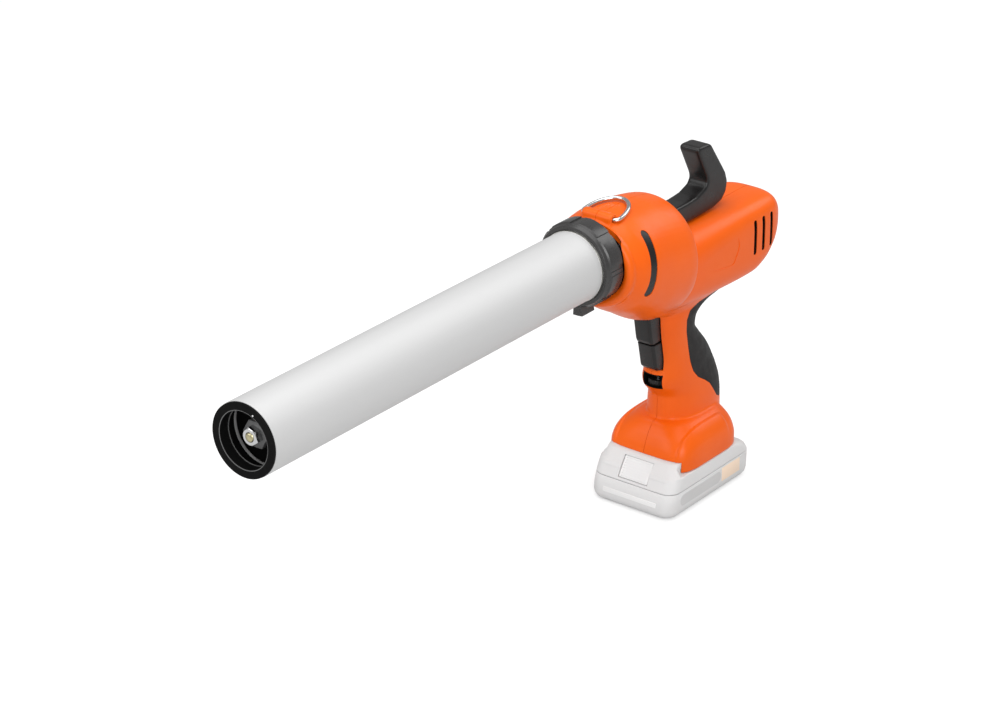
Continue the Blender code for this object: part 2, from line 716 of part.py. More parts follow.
def screw_places():
    """Centres of the housing screws with the housing's half width at each one."""
    places = ((-0.060, 0.2475), (-0.0985, 0.1930), (0.0885, 0.2065), (0.0700, 0.1730),
              (-0.002, 0.1640), (-0.0105, 0.0850), (0.0200, 0.0585))
    found = []
    for x, z in places:
        widths = (half_width_at(DOME, x, z), half_width_at(MOTOR, x, z),
                  half_width_at(GRIP, z, x), half_width_at(FOOT, z, x))
        found.append((x, z, max(widths)))
    return found


def housing():
    """The two moulded halves with their walls, screw bosses and openings."""
    shell = body_solid(0.0)
    join(shell, loft(FOOT, "Z"))
    lug = []
    for step in range(13):
        angle = math.pi * step / 12.0
        lug.append((LUG_X + LUG_RADIUS * math.cos(angle), LUG_Z + LUG_RADIUS * math.sin(angle)))
    lug += [(LUG_X - LUG_RADIUS, LUG_Z - 0.012), (LUG_X + LUG_RADIUS, LUG_Z - 0.012)]
    join(shell, prism(lug, -LUG_HALF, LUG_HALF))

    cavity = piece("cavity", loft(DOME, "X", WALL), "shell")
    join(cavity, loft(MOTOR, "X", WALL))
    inner_grip = [(z, front + 0.0005, rear - GRIP_PAD - 0.0005, half - GRIP_PAD - 0.0005, power)
                  for z, front, rear, half, power in GRIP]
    join(cavity, loft(inner_grip, "Z", WALL))
    boolean(cavity, piece("foot_room", loft(FOOT, "Z", WALL, ends=(True, False)), "shell"), "UNION")
    boolean(shell, cavity, "DIFFERENCE")
    low = FOOT[-1][0]
    room = block((FOOT[-1][1] + CHEEK, -FOOT[-1][3] + CHEEK, low - 0.01),
                 (FOOT[-1][2] - CHEEK, FOOT[-1][3] - CHEEK, low + 0.004))
    cut(shell, room)
    front = block((FOOT[-1][1] - 0.01, -FOOT[-1][3] + CHEEK, low - 0.01),
                  (FOOT[-1][1] + 0.016, FOOT[-1][3] - CHEEK, FOOT_FRONT_Z))
    cut(shell, front)
    lip = block((FOOT[-1][1] - 0.01, -0.06, low - 0.01), (FOOT[-1][1] + 0.0025, 0.06, FOOT_FRONT_Z))
    cut(shell, lip)

    posts = body_solid(0.5 * WALL)
    join(posts, loft(FOOT, "Z", 0.5 * WALL))
    bars = bmesh.new()
    for x, z, half in screw_places():
        bar = bpy.data.meshes.new("bar")
        single = rod(BOSS_RADIUS, -half - 0.01, half + 0.01, "Y", (x, 0.0, z))
        single.to_mesh(bar)
        single.free()
        bars.from_mesh(bar)
        bpy.data.meshes.remove(bar)
    boolean(posts, tool(bars), "INTERSECT")
    boolean(shell, posts, "UNION")

    recess = piece("recess", pad_region(GAP), "soft")
    core = [(z, x0 + GRIP_PAD + GAP, x1 - GRIP_PAD - GAP, half - GRIP_PAD - GAP, power)
            for z, x0, x1, half, power in GRIP]
    boolean(recess, tool(loft(core, "Z")), "DIFFERENCE")
    boolean(shell, recess, "DIFFERENCE")

    cut(shell, rod(ADAPTOR_NECK + GAP, -0.13, DOME[0][0] + WALL + 0.002, "X", HUB, 38))
    cut(shell, rod(ROD_HOLE, -0.05, 0.0, "X", HUB, 30))
    cut(shell, rod(RING_WIRE + RUN, -0.05, 0.05, "Y", LUG_PIN))
    cut(shell, block((-0.075, -TRIGGER_HALF - RUN, LOWER_TRIGGER[3][1] - RUN - 0.0005),
                     (-0.018, TRIGGER_HALF + RUN, UPPER_TRIGGER[0][1] + RUN)))
    window = DIAL_RADIUS + RUN
    cut(shell, block((-0.06, -window, DIAL_WINDOW[0]), (-0.020, window, DIAL_WINDOW[1])))
    for x in VENT_X:
        radius = VENT_WIDTH / 2.0
        slot = capsule((x, VENT_LOW_Z + radius), (x, VENT_HIGH_Z - radius), VENT_WIDTH, 5)
        cut(shell, prism(slot, -0.05, 0.05))
    cut(shell, prism(capsule(SLOT_TOP, SLOT_LOW, SLOT_WIDTH), -0.06, 0.06))

    left = copy_of(shell, "left")
    cut(left, block((-0.3, -SEAM / 2.0, -0.1), (0.3, 0.2, 0.5)))
    right = shell
    cut(right, block((-0.3, -0.2, -0.1), (0.3, SEAM / 2.0, 0.5)))
    for number, (x, z, half) in enumerate(screw_places(), 1):
        seat = half - SCREW_SINK
        tail = -min(0.009, half - 0.007)
        cut(right, rod(SCREW_SHANK + GAP, -0.001, seat + 0.001, "Y", (x, 0.0, z), 12))
        cut(right, rod(SCREW_HEAD + GAP, seat, half + 0.01, "Y", (x, 0.0, z), 16))
        cut(left, rod(SCREW_SHANK + GAP, tail - 0.001, 0.001, "Y", (x, 0.0, z), 12))
        top = seat + GAP + SCREW_HEAD_LENGTH
        profile = [(tail, 0.0), (tail, SCREW_SHANK), (seat + GAP, SCREW_SHANK), (seat + GAP, SCREW_HEAD),
                   (top, SCREW_HEAD), (top, 0.0)]
        piece(f"housing_screw_{number}", turned(profile, "Y", (x, 0.0, z), 12), "steel", (x, 0.0, z))
    rename(left, "housing_left", "shell")
    rename(right, "housing_right", "shell")


def soft_grip():
    """Rubber cover on the rear of the grip, moulded in two halves."""
    outer = piece("outer", loft(GRIP, "Z"), "soft")
    boolean(outer, tool(loft(MOTOR, "X", -GAP)), "DIFFERENCE")
    boolean(outer, tool(pad_region(0.0)), "INTERSECT")
    core = [(z, x0 + GRIP_PAD, x1 - GRIP_PAD, half - GRIP_PAD, power) for z, x0, x1, half, power in GRIP]
    boolean(outer, tool(loft(core, "Z")), "DIFFERENCE")
    left = copy_of(outer, "left_pad")
    cut(left, block((-0.3, -SEAM / 2.0, -0.1), (0.3, 0.2, 0.5)))
    cut(outer, block((-0.3, -0.2, -0.1), (0.3, SEAM / 2.0, 0.5)))
    rename(left, "soft_grip_left", "soft")
    rename(outer, "soft_grip_right", "soft")


def side_inserts():
    """Black strips set in the slots in the dome's sides."""
    for name, side in (("side_insert_left", -1.0), ("side_insert_right", 1.0)):
        low, high = sorted((side * 0.02, side * 0.06))
        strip = piece(name, prism(capsule(SLOT_TOP, SLOT_LOW, SLOT_WIDTH - 2.0 * GAP), low, high), "black")
        boolean(strip, tool(loft(DOME, "X", INSERT_SINK)), "INTERSECT")
        cut(strip, loft(DOME, "X", INSERT_SINK + 0.0032))


def rod_bushing():
    """Guide ring for the rack in the dome's rear wall."""
    wall = DOME[-1][0]
    outer = ROD_HOLE - GAP
    profile = [
        (wall - WALL - 0.004, outer - BUSHING_WALL), (wall - WALL - 0.004, outer + 0.0025),
        (wall - WALL - GAP, outer + 0.0025), (wall - WALL - GAP, outer), (wall, outer),
        (wall, outer - BUSHING_WALL),
    ]
    piece("rod_bushing", turned(profile, centre=HUB, segments=32), "black", HUB)


def d_ring():
    """Steel hanging ring that swings in the lug on top of the housing."""
    half = LUG_HALF + RING_WIRE + 0.0014
    bend = 0.004
    flat = [(0.0, -half + bend)]
    steps = 6
    for step in range(1, 7):
        flat.append((0.0, -half + bend + (2.0 * half - 2.0 * bend) * step / 6.0))
    for step in range(1, steps):
        angle = math.pi / 2.0 * step / steps
        flat.append((bend - bend * math.cos(angle), half - bend + bend * math.sin(angle)))
    reach = RING_REACH - bend
    for step in range(0, 25):
        angle = math.pi / 2.0 - math.pi * step / 24.0
        flat.append((bend + reach * math.cos(angle), half * math.sin(angle)))
    for step in range(1, steps):
        angle = math.pi / 2.0 * step / steps
        flat.append((bend - bend * math.sin(angle), -half + bend - bend * math.cos(angle)))
    curve = bpy.data.curves.new("d_ring", "CURVE")
    curve.dimensions = "3D"
    curve.bevel_depth = RING_WIRE
    curve.bevel_resolution = 2
    curve.use_fill_caps = True
    spline = curve.splines.new("POLY")
    spline.points.add(len(flat) - 1)
    tilt = math.radians(RING_TILT)
    for point, (along, side) in zip(spline.points, flat):
        point.co = (along * math.cos(tilt), side, along * math.sin(tilt), 1.0)
    spline.use_cyclic_u = True
    item = bpy.data.objects.new("d_ring", curve)
    item.location = LUG_PIN
    bpy.context.scene.collection.objects.link(item)
    curve.materials.append(make_material("d_ring", "steel"))


# ------------------------------------------------------------------ triggers and dial
def trigger(name, outline):
    """A finger trigger with bevelled front edges."""
    bm = prism(outline, -TRIGGER_HALF, TRIGGER_HALF)
    front = sorted({round(x, 5) for x, _ in outline})[3]
    edges = [edge for edge in bm.edges
             if abs(edge.verts[0].co.y - edge.verts[1].co.y) < 1e-6
             and max(vert.co.x for vert in edge.verts) <= front + 1e-5]
    bmesh.ops.bevel(bm, geom=edges, offset=TRIGGER_EDGE, segments=1, profile=0.5, affect="EDGES")
    return piece(name, bm, "black", (outline[-1][0], 0.0, outline[-1][1]))


def speed_dial():
    """Knurled thumb wheel under the triggers."""
    points = []
    count = DIAL_GRIPS * 2
    for step in range(count):
        radius = DIAL_RADIUS - (0.0005 if step % 2 else 0.0)
        angle = math.tau * step / count
        points.append((DIAL_X + radius * math.cos(angle), radius * math.sin(angle)))
    low = DIAL_Z - DIAL_THICK / 2.0
    centre = (DIAL_X, 0.0, DIAL_Z)
    item = piece("speed_dial", prism(points, low, low + DIAL_THICK, "Z"), "black", centre)
    cut(item, rod(0.002 + RUN, low - 0.01, low + 0.02, "Z", (DIAL_X, 0.0, 0.0)))
    piece("dial_axle", rod(0.002, low - 0.0015, low + DIAL_THICK + 0.0015, "Z", (DIAL_X, 0.0, 0.0)),
          "steel", centre)


def switch_module():
    """Electronic switch behind the triggers."""
    low = (LOWER_TRIGGER[4][0] + TRIGGER_TRAVEL + 0.001, -0.0080, 0.1135)
    high = (-0.0040, 0.0080, 0.1465)
    piece("switch_module", block(low, high), "black", low)


# ------------------------------------------------------------------ motor and gearbox
def motor():
    """Motor can, rotor with its shaft and fan, and the gearbox case in front of it."""
    centre = (0.0, 0.0, MOTOR_Z)
    front, rear = MOTOR_X
    can = [
        (front, MOTOR_SHAFT + 0.003), (front, MOTOR_RADIUS), (rear, MOTOR_RADIUS),
        (rear, MOTOR_RADIUS - CAN_WALL), (front + 0.002, MOTOR_RADIUS - CAN_WALL),
        (front + 0.002, MOTOR_SHAFT + 0.003),
    ]
    piece("motor_can", turned(can, centre=centre, segments=32), "steel", centre)
    rotor = [
        (front, 0.0), (front, MOTOR_SHAFT), (front + 0.006, MOTOR_SHAFT), (front + 0.006, ROTOR_RADIUS),
        (rear - 0.006, ROTOR_RADIUS), (rear - 0.006, MOTOR_SHAFT), (FAN_X[1] + 0.002, MOTOR_SHAFT),
        (FAN_X[1] + 0.002, 0.0),
    ]
    piece("motor_rotor", turned(rotor, centre=centre, segments=24), "steel", centre)
    points = []
    for number in range(FAN_BLADES):
        middle = math.tau * number / FAN_BLADES
        for radius, offset in ((0.007, -0.20), (FAN_RADIUS, -0.16), (FAN_RADIUS, 0.16), (0.007, 0.20)):
            angle = middle + offset
            points.append((radius * math.cos(angle), MOTOR_Z + radius * math.sin(angle)))
    fan = piece("motor_fan", prism(points, *FAN_X, "X"), "black", centre)
    cut(fan, rod(MOTOR_SHAFT + GAP, FAN_X[0] - 0.01, FAN_X[1] + 0.01, "X", centre))
    low, high = GEARBOX_X
    case = [(low, 0.0), (low, GEARBOX_RADIUS - 0.003), (low + 0.003, GEARBOX_RADIUS),
            (high, GEARBOX_RADIUS), (high, 0.0)]
    piece("gearbox_case", turned(case, centre=centre, segments=32), "steel", centre)


# ------------------------------------------------------------------ battery
def rounded(low_x, high_x, half, radius, turns=5):
    """Outline of a rectangle with round corners, as (x, y) points."""
    points = []
    corners = ((high_x - radius, half - radius, 0.0), (low_x + radius, half - radius, 90.0),
               (low_x + radius, -half + radius, 180.0), (high_x - radius, -half + radius, 270.0))
    for x, y, start in corners:
        for step in range(turns + 1):
            angle = math.radians(start + 90.0 * step / turns)
            points.append((x + radius * math.cos(angle), y + radius * math.sin(angle)))
    return points


def stacked(levels):
    """A closed solid through rounded rectangles at rising heights."""
    bm = bmesh.new()
    loops = []
    for z, low_x, high_x, half, radius in levels:
        loops.append([bm.verts.new((x, y, z)) for x, y in rounded(low_x, high_x, half, radius)])
    for first, second in zip(loops, loops[1:]):
        for step in range(len(first)):
            after = (step + 1) % len(first)
            bm.faces.new((first[step], first[after], second[after], second[step]))
    bm.faces.new(loops[0])
    bm.faces.new(reversed(loops[-1]))
    bmesh.ops.recalc_face_normals(bm, faces=bm.faces)
    return bm


def battery():
    """Slide-on battery: tray, lid with rails, cells and the release button."""
    front = BATTERY_FRONT
    rear = BATTERY_REAR
    half = BATTERY_HALF
    tray = piece("battery_tray", stacked((
        (0.0, front + 0.0055, rear - 0.006, half - 0.005, 0.009),
        (0.0025, front + 0.0018, rear - 0.003, half - 0.0018, 0.010),
        (0.0070, front, rear - 0.001, half, 0.011),
        (TRAY_TOP - GAP, front + 0.003, rear, half, 0.011),
    )), "grey")
    inner = BATTERY_WALL
    cut(tray, stacked((
        (0.0035, front + 0.0062, rear - 0.0062, half - 0.0042, 0.006),
        (0.0075, front + 0.0035 + inner, rear - 0.001 - inner, half - inner, 0.008),
        (TRAY_TOP + 0.01, front + 0.0035 + inner, rear - 0.001 - inner, half - inner, 0.008),
    )))
    lid = piece("battery_lid", stacked((
        (TRAY_TOP, front + 0.0031, rear, half, 0.011),
        (0.0275, front + 0.0060, rear - 0.0045, half, 0.011),
        (FOOT[-1][0] - GAP, front + 0.0090, rear - 0.0150, half, 0.011),
    )), "grey")
    join(lid, block((-0.0420, -RAIL_HALF, 0.030), (0.0285, RAIL_HALF, RAIL_TOP)))
    join(lid, stacked((
        (0.0300, front + 0.0070, -0.020, half - CHEEK - GAP, 0.008),
        (FOOT_FRONT_Z - GAP, front + 0.0165, -0.020, half - CHEEK - GAP, 0.008),
    )))
    cut(lid, stacked((
        (TRAY_TOP - 0.01, front + 0.0075 + 2 * inner, rear - 0.006 - inner, half - inner, 0.008),
        (0.0230, front + 0.0075 + 2 * inner, rear - 0.006 - inner, half - inner, 0.008),
    )))
    low, high = BUTTON_Z
    outline = [(front + 0.0044, low), (front + 0.0044 + BUTTON_THICK, low),
               (front + 0.0138 + BUTTON_THICK, high), (front + 0.0138, high)]
    room = BUTTON_THICK + BUTTON_TRAVEL + GAP
    cut(lid, prism([(front - 0.01, low - GAP), (front + 0.0044 + room, low - GAP),
                    (front + 0.0138 + room, high + GAP), (front - 0.01, high + GAP)],
                   -BUTTON_HALF - GAP, BUTTON_HALF + GAP))
    button = piece("battery_button", prism(outline, -BUTTON_HALF, BUTTON_HALF), "grey",
                   (front + 0.0091, 0.0, 0.5 * (low + high)))
    ribs = 6
    for number in range(ribs):
        share = (number + 0.5) / ribs
        x = outline[0][0] + share * (outline[3][0] - outline[0][0])
        z = outline[0][1] + share * (outline[3][1] - outline[0][1])
        side = BUTTON_HALF - 0.0015
        cut(button, block((x - 0.003, -side, z - 0.0004), (x + 0.0006, side, z + 0.0004)))
    pitch = 2.0 * CELL_RADIUS + 0.0005
    for number in range(CELL_COUNT):
        x = (number - (CELL_COUNT - 1) / 2.0) * pitch + 0.5 * (front + rear) + 0.0012
        centre = (x, 0.0, 0.0042 + CELL_RADIUS)
        piece(f"battery_cell_{number + 1}",
              rod(CELL_RADIUS, -CELL_LENGTH / 2.0, CELL_LENGTH / 2.0, "Y", centre, 24), "green", centre)


def terminal_block():
    """Contact block in the foot, above the battery."""
    piece("terminal_block", block((-0.012, -0.016, RAIL_TOP + 0.0008), (0.026, 0.016, 0.0520)), "black",
          (0.007, 0.0, RAIL_TOP))


def main():
    """Build every piece of the tool."""
    clear_scene()
    housing()
    soft_grip()
    side_inserts()
    rod_bushing()
    barrel_adaptor()
    barrel_tube()
    nozzle_ring()
    front_cap()
    collar_nut()
    piston()
    piston_fastening()
    rack_rod()
    pull_handle()
    pinion()
    frame_plates()
    d_ring()
    trigger("upper_trigger", UPPER_TRIGGER)
    trigger("lower_trigger", LOWER_TRIGGER)
    speed_dial()
    switch_module()
    motor()
    battery()
    terminal_block()


main()
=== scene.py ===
"""Cordless caulking gun: the looks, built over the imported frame.

Every length is in metres, in the frame's own axes: the barrel points along -X, the tool's left
side is -Y and +Z is up. Each class is one sub-assembly. It holds its sizes, builds its meshes with
bmesh operators, dresses them in its finishes and hands them to the body that they move with.
"""
import logging
import math
from dataclasses import dataclass
from enum import Enum

import bmesh
import bpy
import numpy as np
from mathutils import Matrix, Vector


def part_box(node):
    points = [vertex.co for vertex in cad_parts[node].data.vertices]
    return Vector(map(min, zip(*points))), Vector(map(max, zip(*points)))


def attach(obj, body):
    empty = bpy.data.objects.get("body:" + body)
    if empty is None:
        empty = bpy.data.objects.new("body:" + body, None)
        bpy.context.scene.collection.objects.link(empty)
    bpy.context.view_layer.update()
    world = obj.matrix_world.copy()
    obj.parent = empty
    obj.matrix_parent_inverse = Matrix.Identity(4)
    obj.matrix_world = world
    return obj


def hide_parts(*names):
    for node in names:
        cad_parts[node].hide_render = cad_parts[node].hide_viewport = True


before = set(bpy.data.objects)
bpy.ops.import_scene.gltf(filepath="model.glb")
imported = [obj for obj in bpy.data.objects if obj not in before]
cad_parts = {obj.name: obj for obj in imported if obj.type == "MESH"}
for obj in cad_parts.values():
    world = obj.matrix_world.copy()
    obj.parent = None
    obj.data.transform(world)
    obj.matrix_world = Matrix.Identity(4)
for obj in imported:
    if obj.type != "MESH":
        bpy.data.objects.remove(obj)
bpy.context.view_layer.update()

log = logging.getLogger("caulking_gun")

AXIS_Z = 0.232
HUB = Vector((0.0, 0.0, AXIS_Z))
SHARP_ANGLE = math.radians(38.0)

Point2 = tuple[float, float]
Section = tuple[float, float, float, float, float]


class Axis(Enum):
    """The direction that a shape runs along."""

    X = 0
    Y = 1
    Z = 2

    @property
    def vector(self) -> Vector:
        """The unit vector along this axis."""
        made = Vector((0.0, 0.0, 0.0))
        made[self.value] = 1.0
        return made


# ------------------------------------------------------------------ finishes
@dataclass(frozen=True)
class Finish:
    """A surface with a base colour, a slow colour drift, a fine grain and a roughness range.

    Args:
        name: Name of the material.
        slot: The record's material slot that it stands for. Not used.
        colour: Base colour, linear RGB.
        drift: Second colour, which shows in broad soft patches.
        rough: Lowest and highest roughness.
        grain: Grain size of the bump, in repeats per metre.
        bump: Strength of the bump.
        metal: Metallic value.
        coat: Weight of a clear gloss layer.
        gloss: Strength of the mirror-like part of the reflection.
        stretch: How much the pattern is drawn out along each axis.
    """

    name: str
    slot: str
    colour: tuple[float, float, float]
    drift: tuple[float, float, float]
    rough: Point2 = (0.35, 0.45)
    grain: float = 2500.0
    bump: float = 0.05
    metal: float = 0.0
    coat: float = 0.0
    gloss: float = 0.5
    stretch: tuple[float, float, float] = (1.0, 1.0, 1.0)

    def material(self) -> bpy.types.Material:
        """Build the node material, or return it if it is already there.

        Returns:
            The finished material.
        """
        found = bpy.data.materials.get(self.name)
        if found is not None:
            return found
        made = bpy.data.materials.new(self.name)
        made.use_nodes = True
        tree = made.node_tree
        shader = tree.nodes["Principled BSDF"]
        shader.inputs["Metallic"].default_value = self.metal
        shader.inputs["Coat Weight"].default_value = self.coat
        shader.inputs["Coat Roughness"].default_value = 0.12
        shader.inputs["Specular IOR Level"].default_value = self.gloss
        place = self.mapped(tree)
        self.paint(tree, shader, place)
        self.relief(tree, shader, place)
        return made

    def mapped(self, tree: bpy.types.NodeTree) -> bpy.types.NodeSocket:
        """Object coordinates, drawn out along the finish's own directions."""
        where = tree.nodes.new("ShaderNodeTexCoord")
        turn = tree.nodes.new("ShaderNodeMapping")
        turn.inputs["Scale"].default_value = self.stretch
        tree.links.new(where.outputs["Object"], turn.inputs["Vector"])
        return turn.outputs["Vector"]

    def noise(self, tree: bpy.types.NodeTree, place: bpy.types.NodeSocket, scale: float,
              detail: float = 3.0) -> bpy.types.NodeSocket:
        """A noise value at a scale, in repeats per metre."""
        node = tree.nodes.new("ShaderNodeTexNoise")
        node.inputs["Scale"].default_value = scale
        node.inputs["Detail"].default_value = detail
        tree.links.new(place, node.inputs["Vector"])
        return node.outputs["Fac"]

    def paint(self, tree: bpy.types.NodeTree, shader: bpy.types.Node,
              place: bpy.types.NodeSocket) -> None:
        """Colour that drifts between two tones, and roughness that follows a finer noise."""
        broad = self.noise(tree, place, 22.0)
        mix = tree.nodes.new("ShaderNodeMix")
        mix.data_type = "RGBA"
        mix.inputs["A"].default_value = (*self.colour, 1.0)
        mix.inputs["B"].default_value = (*self.drift, 1.0)
        spread = tree.nodes.new("ShaderNodeMapRange")
        spread.inputs["From Min"].default_value = 0.35
        spread.inputs["From Max"].default_value = 0.7
        tree.links.new(broad, spread.inputs["Value"])
        tree.links.new(spread.outputs["Result"], mix.inputs["Factor"])
        tree.links.new(mix.outputs["Result"], shader.inputs["Base Color"])
        fine = self.noise(tree, place, 160.0)
        dull = tree.nodes.new("ShaderNodeMapRange")
        dull.inputs["From Min"].default_value = 0.3
        dull.inputs["From Max"].default_value = 0.7
        dull.inputs["To Min"].default_value = self.rough[0]
        dull.inputs["To Max"].default_value = self.rough[1]
        tree.links.new(fine, dull.inputs["Value"])
        tree.links.new(dull.outputs["Result"], shader.inputs["Roughness"])

    def relief(self, tree: bpy.types.NodeTree, shader: bpy.types.Node,
               place: bpy.types.NodeSocket) -> None:
        """Fine bump over the whole surface."""
        height = self.noise(tree, place, self.grain, 2.0)
        bump = tree.nodes.new("ShaderNodeBump")
        bump.inputs["Strength"].default_value = self.bump
        bump.inputs["Distance"].default_value = 0.0002
        tree.links.new(height, bump.inputs["Height"])
        tree.links.new(bump.outputs["Normal"], shader.inputs["Normal"])


@dataclass(frozen=True)
class Leathered(Finish):
    """A rubber or plastic with a pebbled grain of small rounded cells."""

    def relief(self, tree: bpy.types.NodeTree, shader: bpy.types.Node,
               place: bpy.types.NodeSocket) -> None:
        """Cells of the grain as bump."""
        cells = tree.nodes.new("ShaderNodeTexVoronoi")
        cells.feature = "SMOOTH_F1"
        cells.inputs["Scale"].default_value = self.grain
        tree.links.new(place, cells.inputs["Vector"])
        bump = tree.nodes.new("ShaderNodeBump")
        bump.inputs["Strength"].default_value = self.bump
        bump.inputs["Distance"].default_value = 0.0003
        tree.links.new(cells.outputs["Distance"], bump.inputs["Height"])
        tree.links.new(bump.outputs["Normal"], shader.inputs["Normal"])


ORANGE = Finish("orange_moulding", "shell", (0.86, 0.122, 0.004), (0.82, 0.110, 0.003),
                rough=(0.30, 0.36), grain=1800.0, bump=0.04, gloss=0.24)
BLACK = Finish("black_moulding", "black_plastic", (0.011, 0.0105, 0.0105), (0.008, 0.0075, 0.0075),
               rough=(0.26, 0.36), grain=2200.0, bump=0.08, gloss=0.38)
BLACK_MATT = Finish("black_moulding_matt", "black_plastic", (0.040, 0.040, 0.045),
                    (0.034, 0.034, 0.038), rough=(0.46, 0.58), grain=2600.0, bump=0.20, gloss=0.30)
# Near black for black parts, and also painted shade: the vent liners, the dial window lining and the
# ring's sleeve over the bore use it to stand for shadow.
DARK = Finish("near_black_and_painted_shade", "black_plastic", (0.003, 0.003, 0.003), (0.002, 0.002, 0.002),
              rough=(0.60, 0.75), grain=1500.0, bump=0.05, gloss=0.10)
# Painted highlight: a light grey that stands for the thin light arcs the lamps put on the black ring's
# inner edges.
BLACK_EDGE_HIGHLIGHT = Finish("painted_highlight_edge", "black_plastic", (0.16, 0.16, 0.16), (0.12, 0.12, 0.12),
                    rough=(0.30, 0.40), grain=2200.0, bump=0.05)
# Painted light: the black hexagon boss gets a mid grey so that it reads as lit against its shaded
# surroundings.
BOSS_PAINTED_LIGHT = Finish("black_boss_painted_light", "black_plastic", (0.150, 0.150, 0.150),
                    (0.130, 0.130, 0.130), rough=(0.30, 0.40), grain=2200.0, bump=0.05)
BLACK_COLLAR = Finish("collar_moulding", "black_plastic", (0.036, 0.035, 0.035),
                      (0.030, 0.029, 0.029), rough=(0.24, 0.32), grain=2200.0, bump=0.05)
RUBBER = Leathered("grip_rubber", "soft_rubber", (0.016, 0.015, 0.015), (0.012, 0.011, 0.011),
                   rough=(0.50, 0.62), grain=1500.0, bump=0.25, gloss=0.25)
TUBE = Finish("drawn_tube", "tube_metal", (0.58, 0.58, 0.58), (0.56, 0.56, 0.56),
              rough=(0.44, 0.52), grain=900.0, bump=0.02, metal=0.12, stretch=(0.04, 1.0, 1.0))
TUBE_EDGE = Finish("cut_tube_edge", "tube_metal", (0.80, 0.79, 0.74), (0.70, 0.69, 0.65),
                   rough=(0.20, 0.30), grain=1500.0, bump=0.05, metal=1.0)
PLATED = Finish("zinc_plate", "steel", (0.72, 0.72, 0.72), (0.62, 0.63, 0.64),
                rough=(0.14, 0.26), grain=900.0, bump=0.06, metal=1.0)
GROUND = Finish("ground_steel", "steel", (0.50, 0.50, 0.51), (0.42, 0.42, 0.44),
                rough=(0.26, 0.38), grain=2500.0, bump=0.15, metal=1.0, stretch=(0.06, 1.0, 1.0))
YELLOW_ZINC = Finish("yellow_zinc", "brass", (0.62, 0.58, 0.38), (0.54, 0.48, 0.28),
                     rough=(0.28, 0.40), grain=1800.0, bump=0.10, metal=0.9)
PALE = Finish("pale_grey_moulding", "battery_grey", (0.70, 0.70, 0.70), (0.68, 0.68, 0.68),
              rough=(0.46, 0.56), grain=2200.0, bump=0.10, gloss=0.30)
PALE_LIGHT = Finish("button_moulding", "battery_grey", (0.82, 0.82, 0.82), (0.79, 0.79, 0.79),
                    rough=(0.40, 0.50), grain=2200.0, bump=0.10, gloss=0.30)
PALE_DARK = Finish("panel_moulding", "battery_grey", (0.60, 0.60, 0.60), (0.58, 0.58, 0.58),
                   rough=(0.46, 0.56), grain=2600.0, bump=0.15, gloss=0.30)
CREAM = Finish("cream_plate", "battery_grey", (0.92, 0.74, 0.58), (0.90, 0.71, 0.55),
               rough=(0.42, 0.50), grain=2600.0, bump=0.05)
WRAP = Finish("cell_wrap", "cell_wrap", (0.05, 0.22, 0.20), (0.04, 0.18, 0.17),
              rough=(0.30, 0.40), grain=600.0, bump=0.05)


# ------------------------------------------------------------------ mesh tools
def grow_circle(bm: bmesh.types.BMesh, count: int) -> tuple[list, list]:
    """Add one ring of vertices and edges.

    Args:
        bm: The mesh that takes the ring.
        count: Number of vertices round it.

    Returns:
        The ring's vertices and its edges.
    """
    made = bmesh.ops.create_circle(bm, cap_ends=False, segments=count, radius=1.0)
    verts = made["verts"]
    edges = list({edge for vert in verts for edge in vert.link_edges})
    return verts, edges


def shape_ring(verts: list, section: Section, along: Axis) -> None:
    """Move a unit ring onto a rounded-rectangle section.

    Args:
        verts: The ring's vertices.
        section: Place, low side, high side, half width and roundness power.
        along: The axis that the body runs along, X or Z.
    """
    place, low, high, half, power = section
    for vert in verts:
        angle = math.atan2(vert.co.y, vert.co.x)
        cosine = math.cos(angle)
        sine = math.sin(angle)
        side = half * math.copysign(abs(cosine) ** (2.0 / power), cosine)
        rise = 0.5 * (low + high) + 0.5 * (high - low) * math.copysign(abs(sine) ** (2.0 / power), sine)
        vert.co = (place, side, rise) if along is Axis.X else (rise, side, place)


def blend_sections(table: tuple[Section, ...], steps: int) -> list[Section]:
    """Sections between the given ones, on a curve that never overshoots them.

    Args:
        table: The body's sections.
        steps: Number of sections to return.

    Returns:
        Evenly spaced sections, with the given ones' ends.
    """
    rows = np.array(sorted(table))
    x = rows[:, 0]
    wanted = np.unique(np.concatenate([np.linspace(x[0], x[-1], steps), x]))
    columns = [wanted]
    for number in range(1, rows.shape[1]):
        y = rows[:, number]
        slopes = np.diff(y) / np.diff(x)
        tangent = np.zeros_like(y)
        for k in range(1, len(x) - 1):
            if slopes[k - 1] * slopes[k] > 0.0:
                tangent[k] = 2.0 / (1.0 / slopes[k - 1] + 1.0 / slopes[k])
        tangent[0] = slopes[0]
        tangent[-1] = slopes[-1]
        index = np.clip(np.searchsorted(x, wanted, side="right") - 1, 0, len(x) - 2)
        width = x[index + 1] - x[index]
        t = (wanted - x[index]) / width
        columns.append((2 * t**3 - 3 * t**2 + 1) * y[index]
                       + (t**3 - 2 * t**2 + t) * width * tangent[index]
                       + (-2 * t**3 + 3 * t**2) * y[index + 1]
                       + (t**3 - t**2) * width * tangent[index + 1])
    return [tuple(row) for row in np.stack(columns, axis=1)]


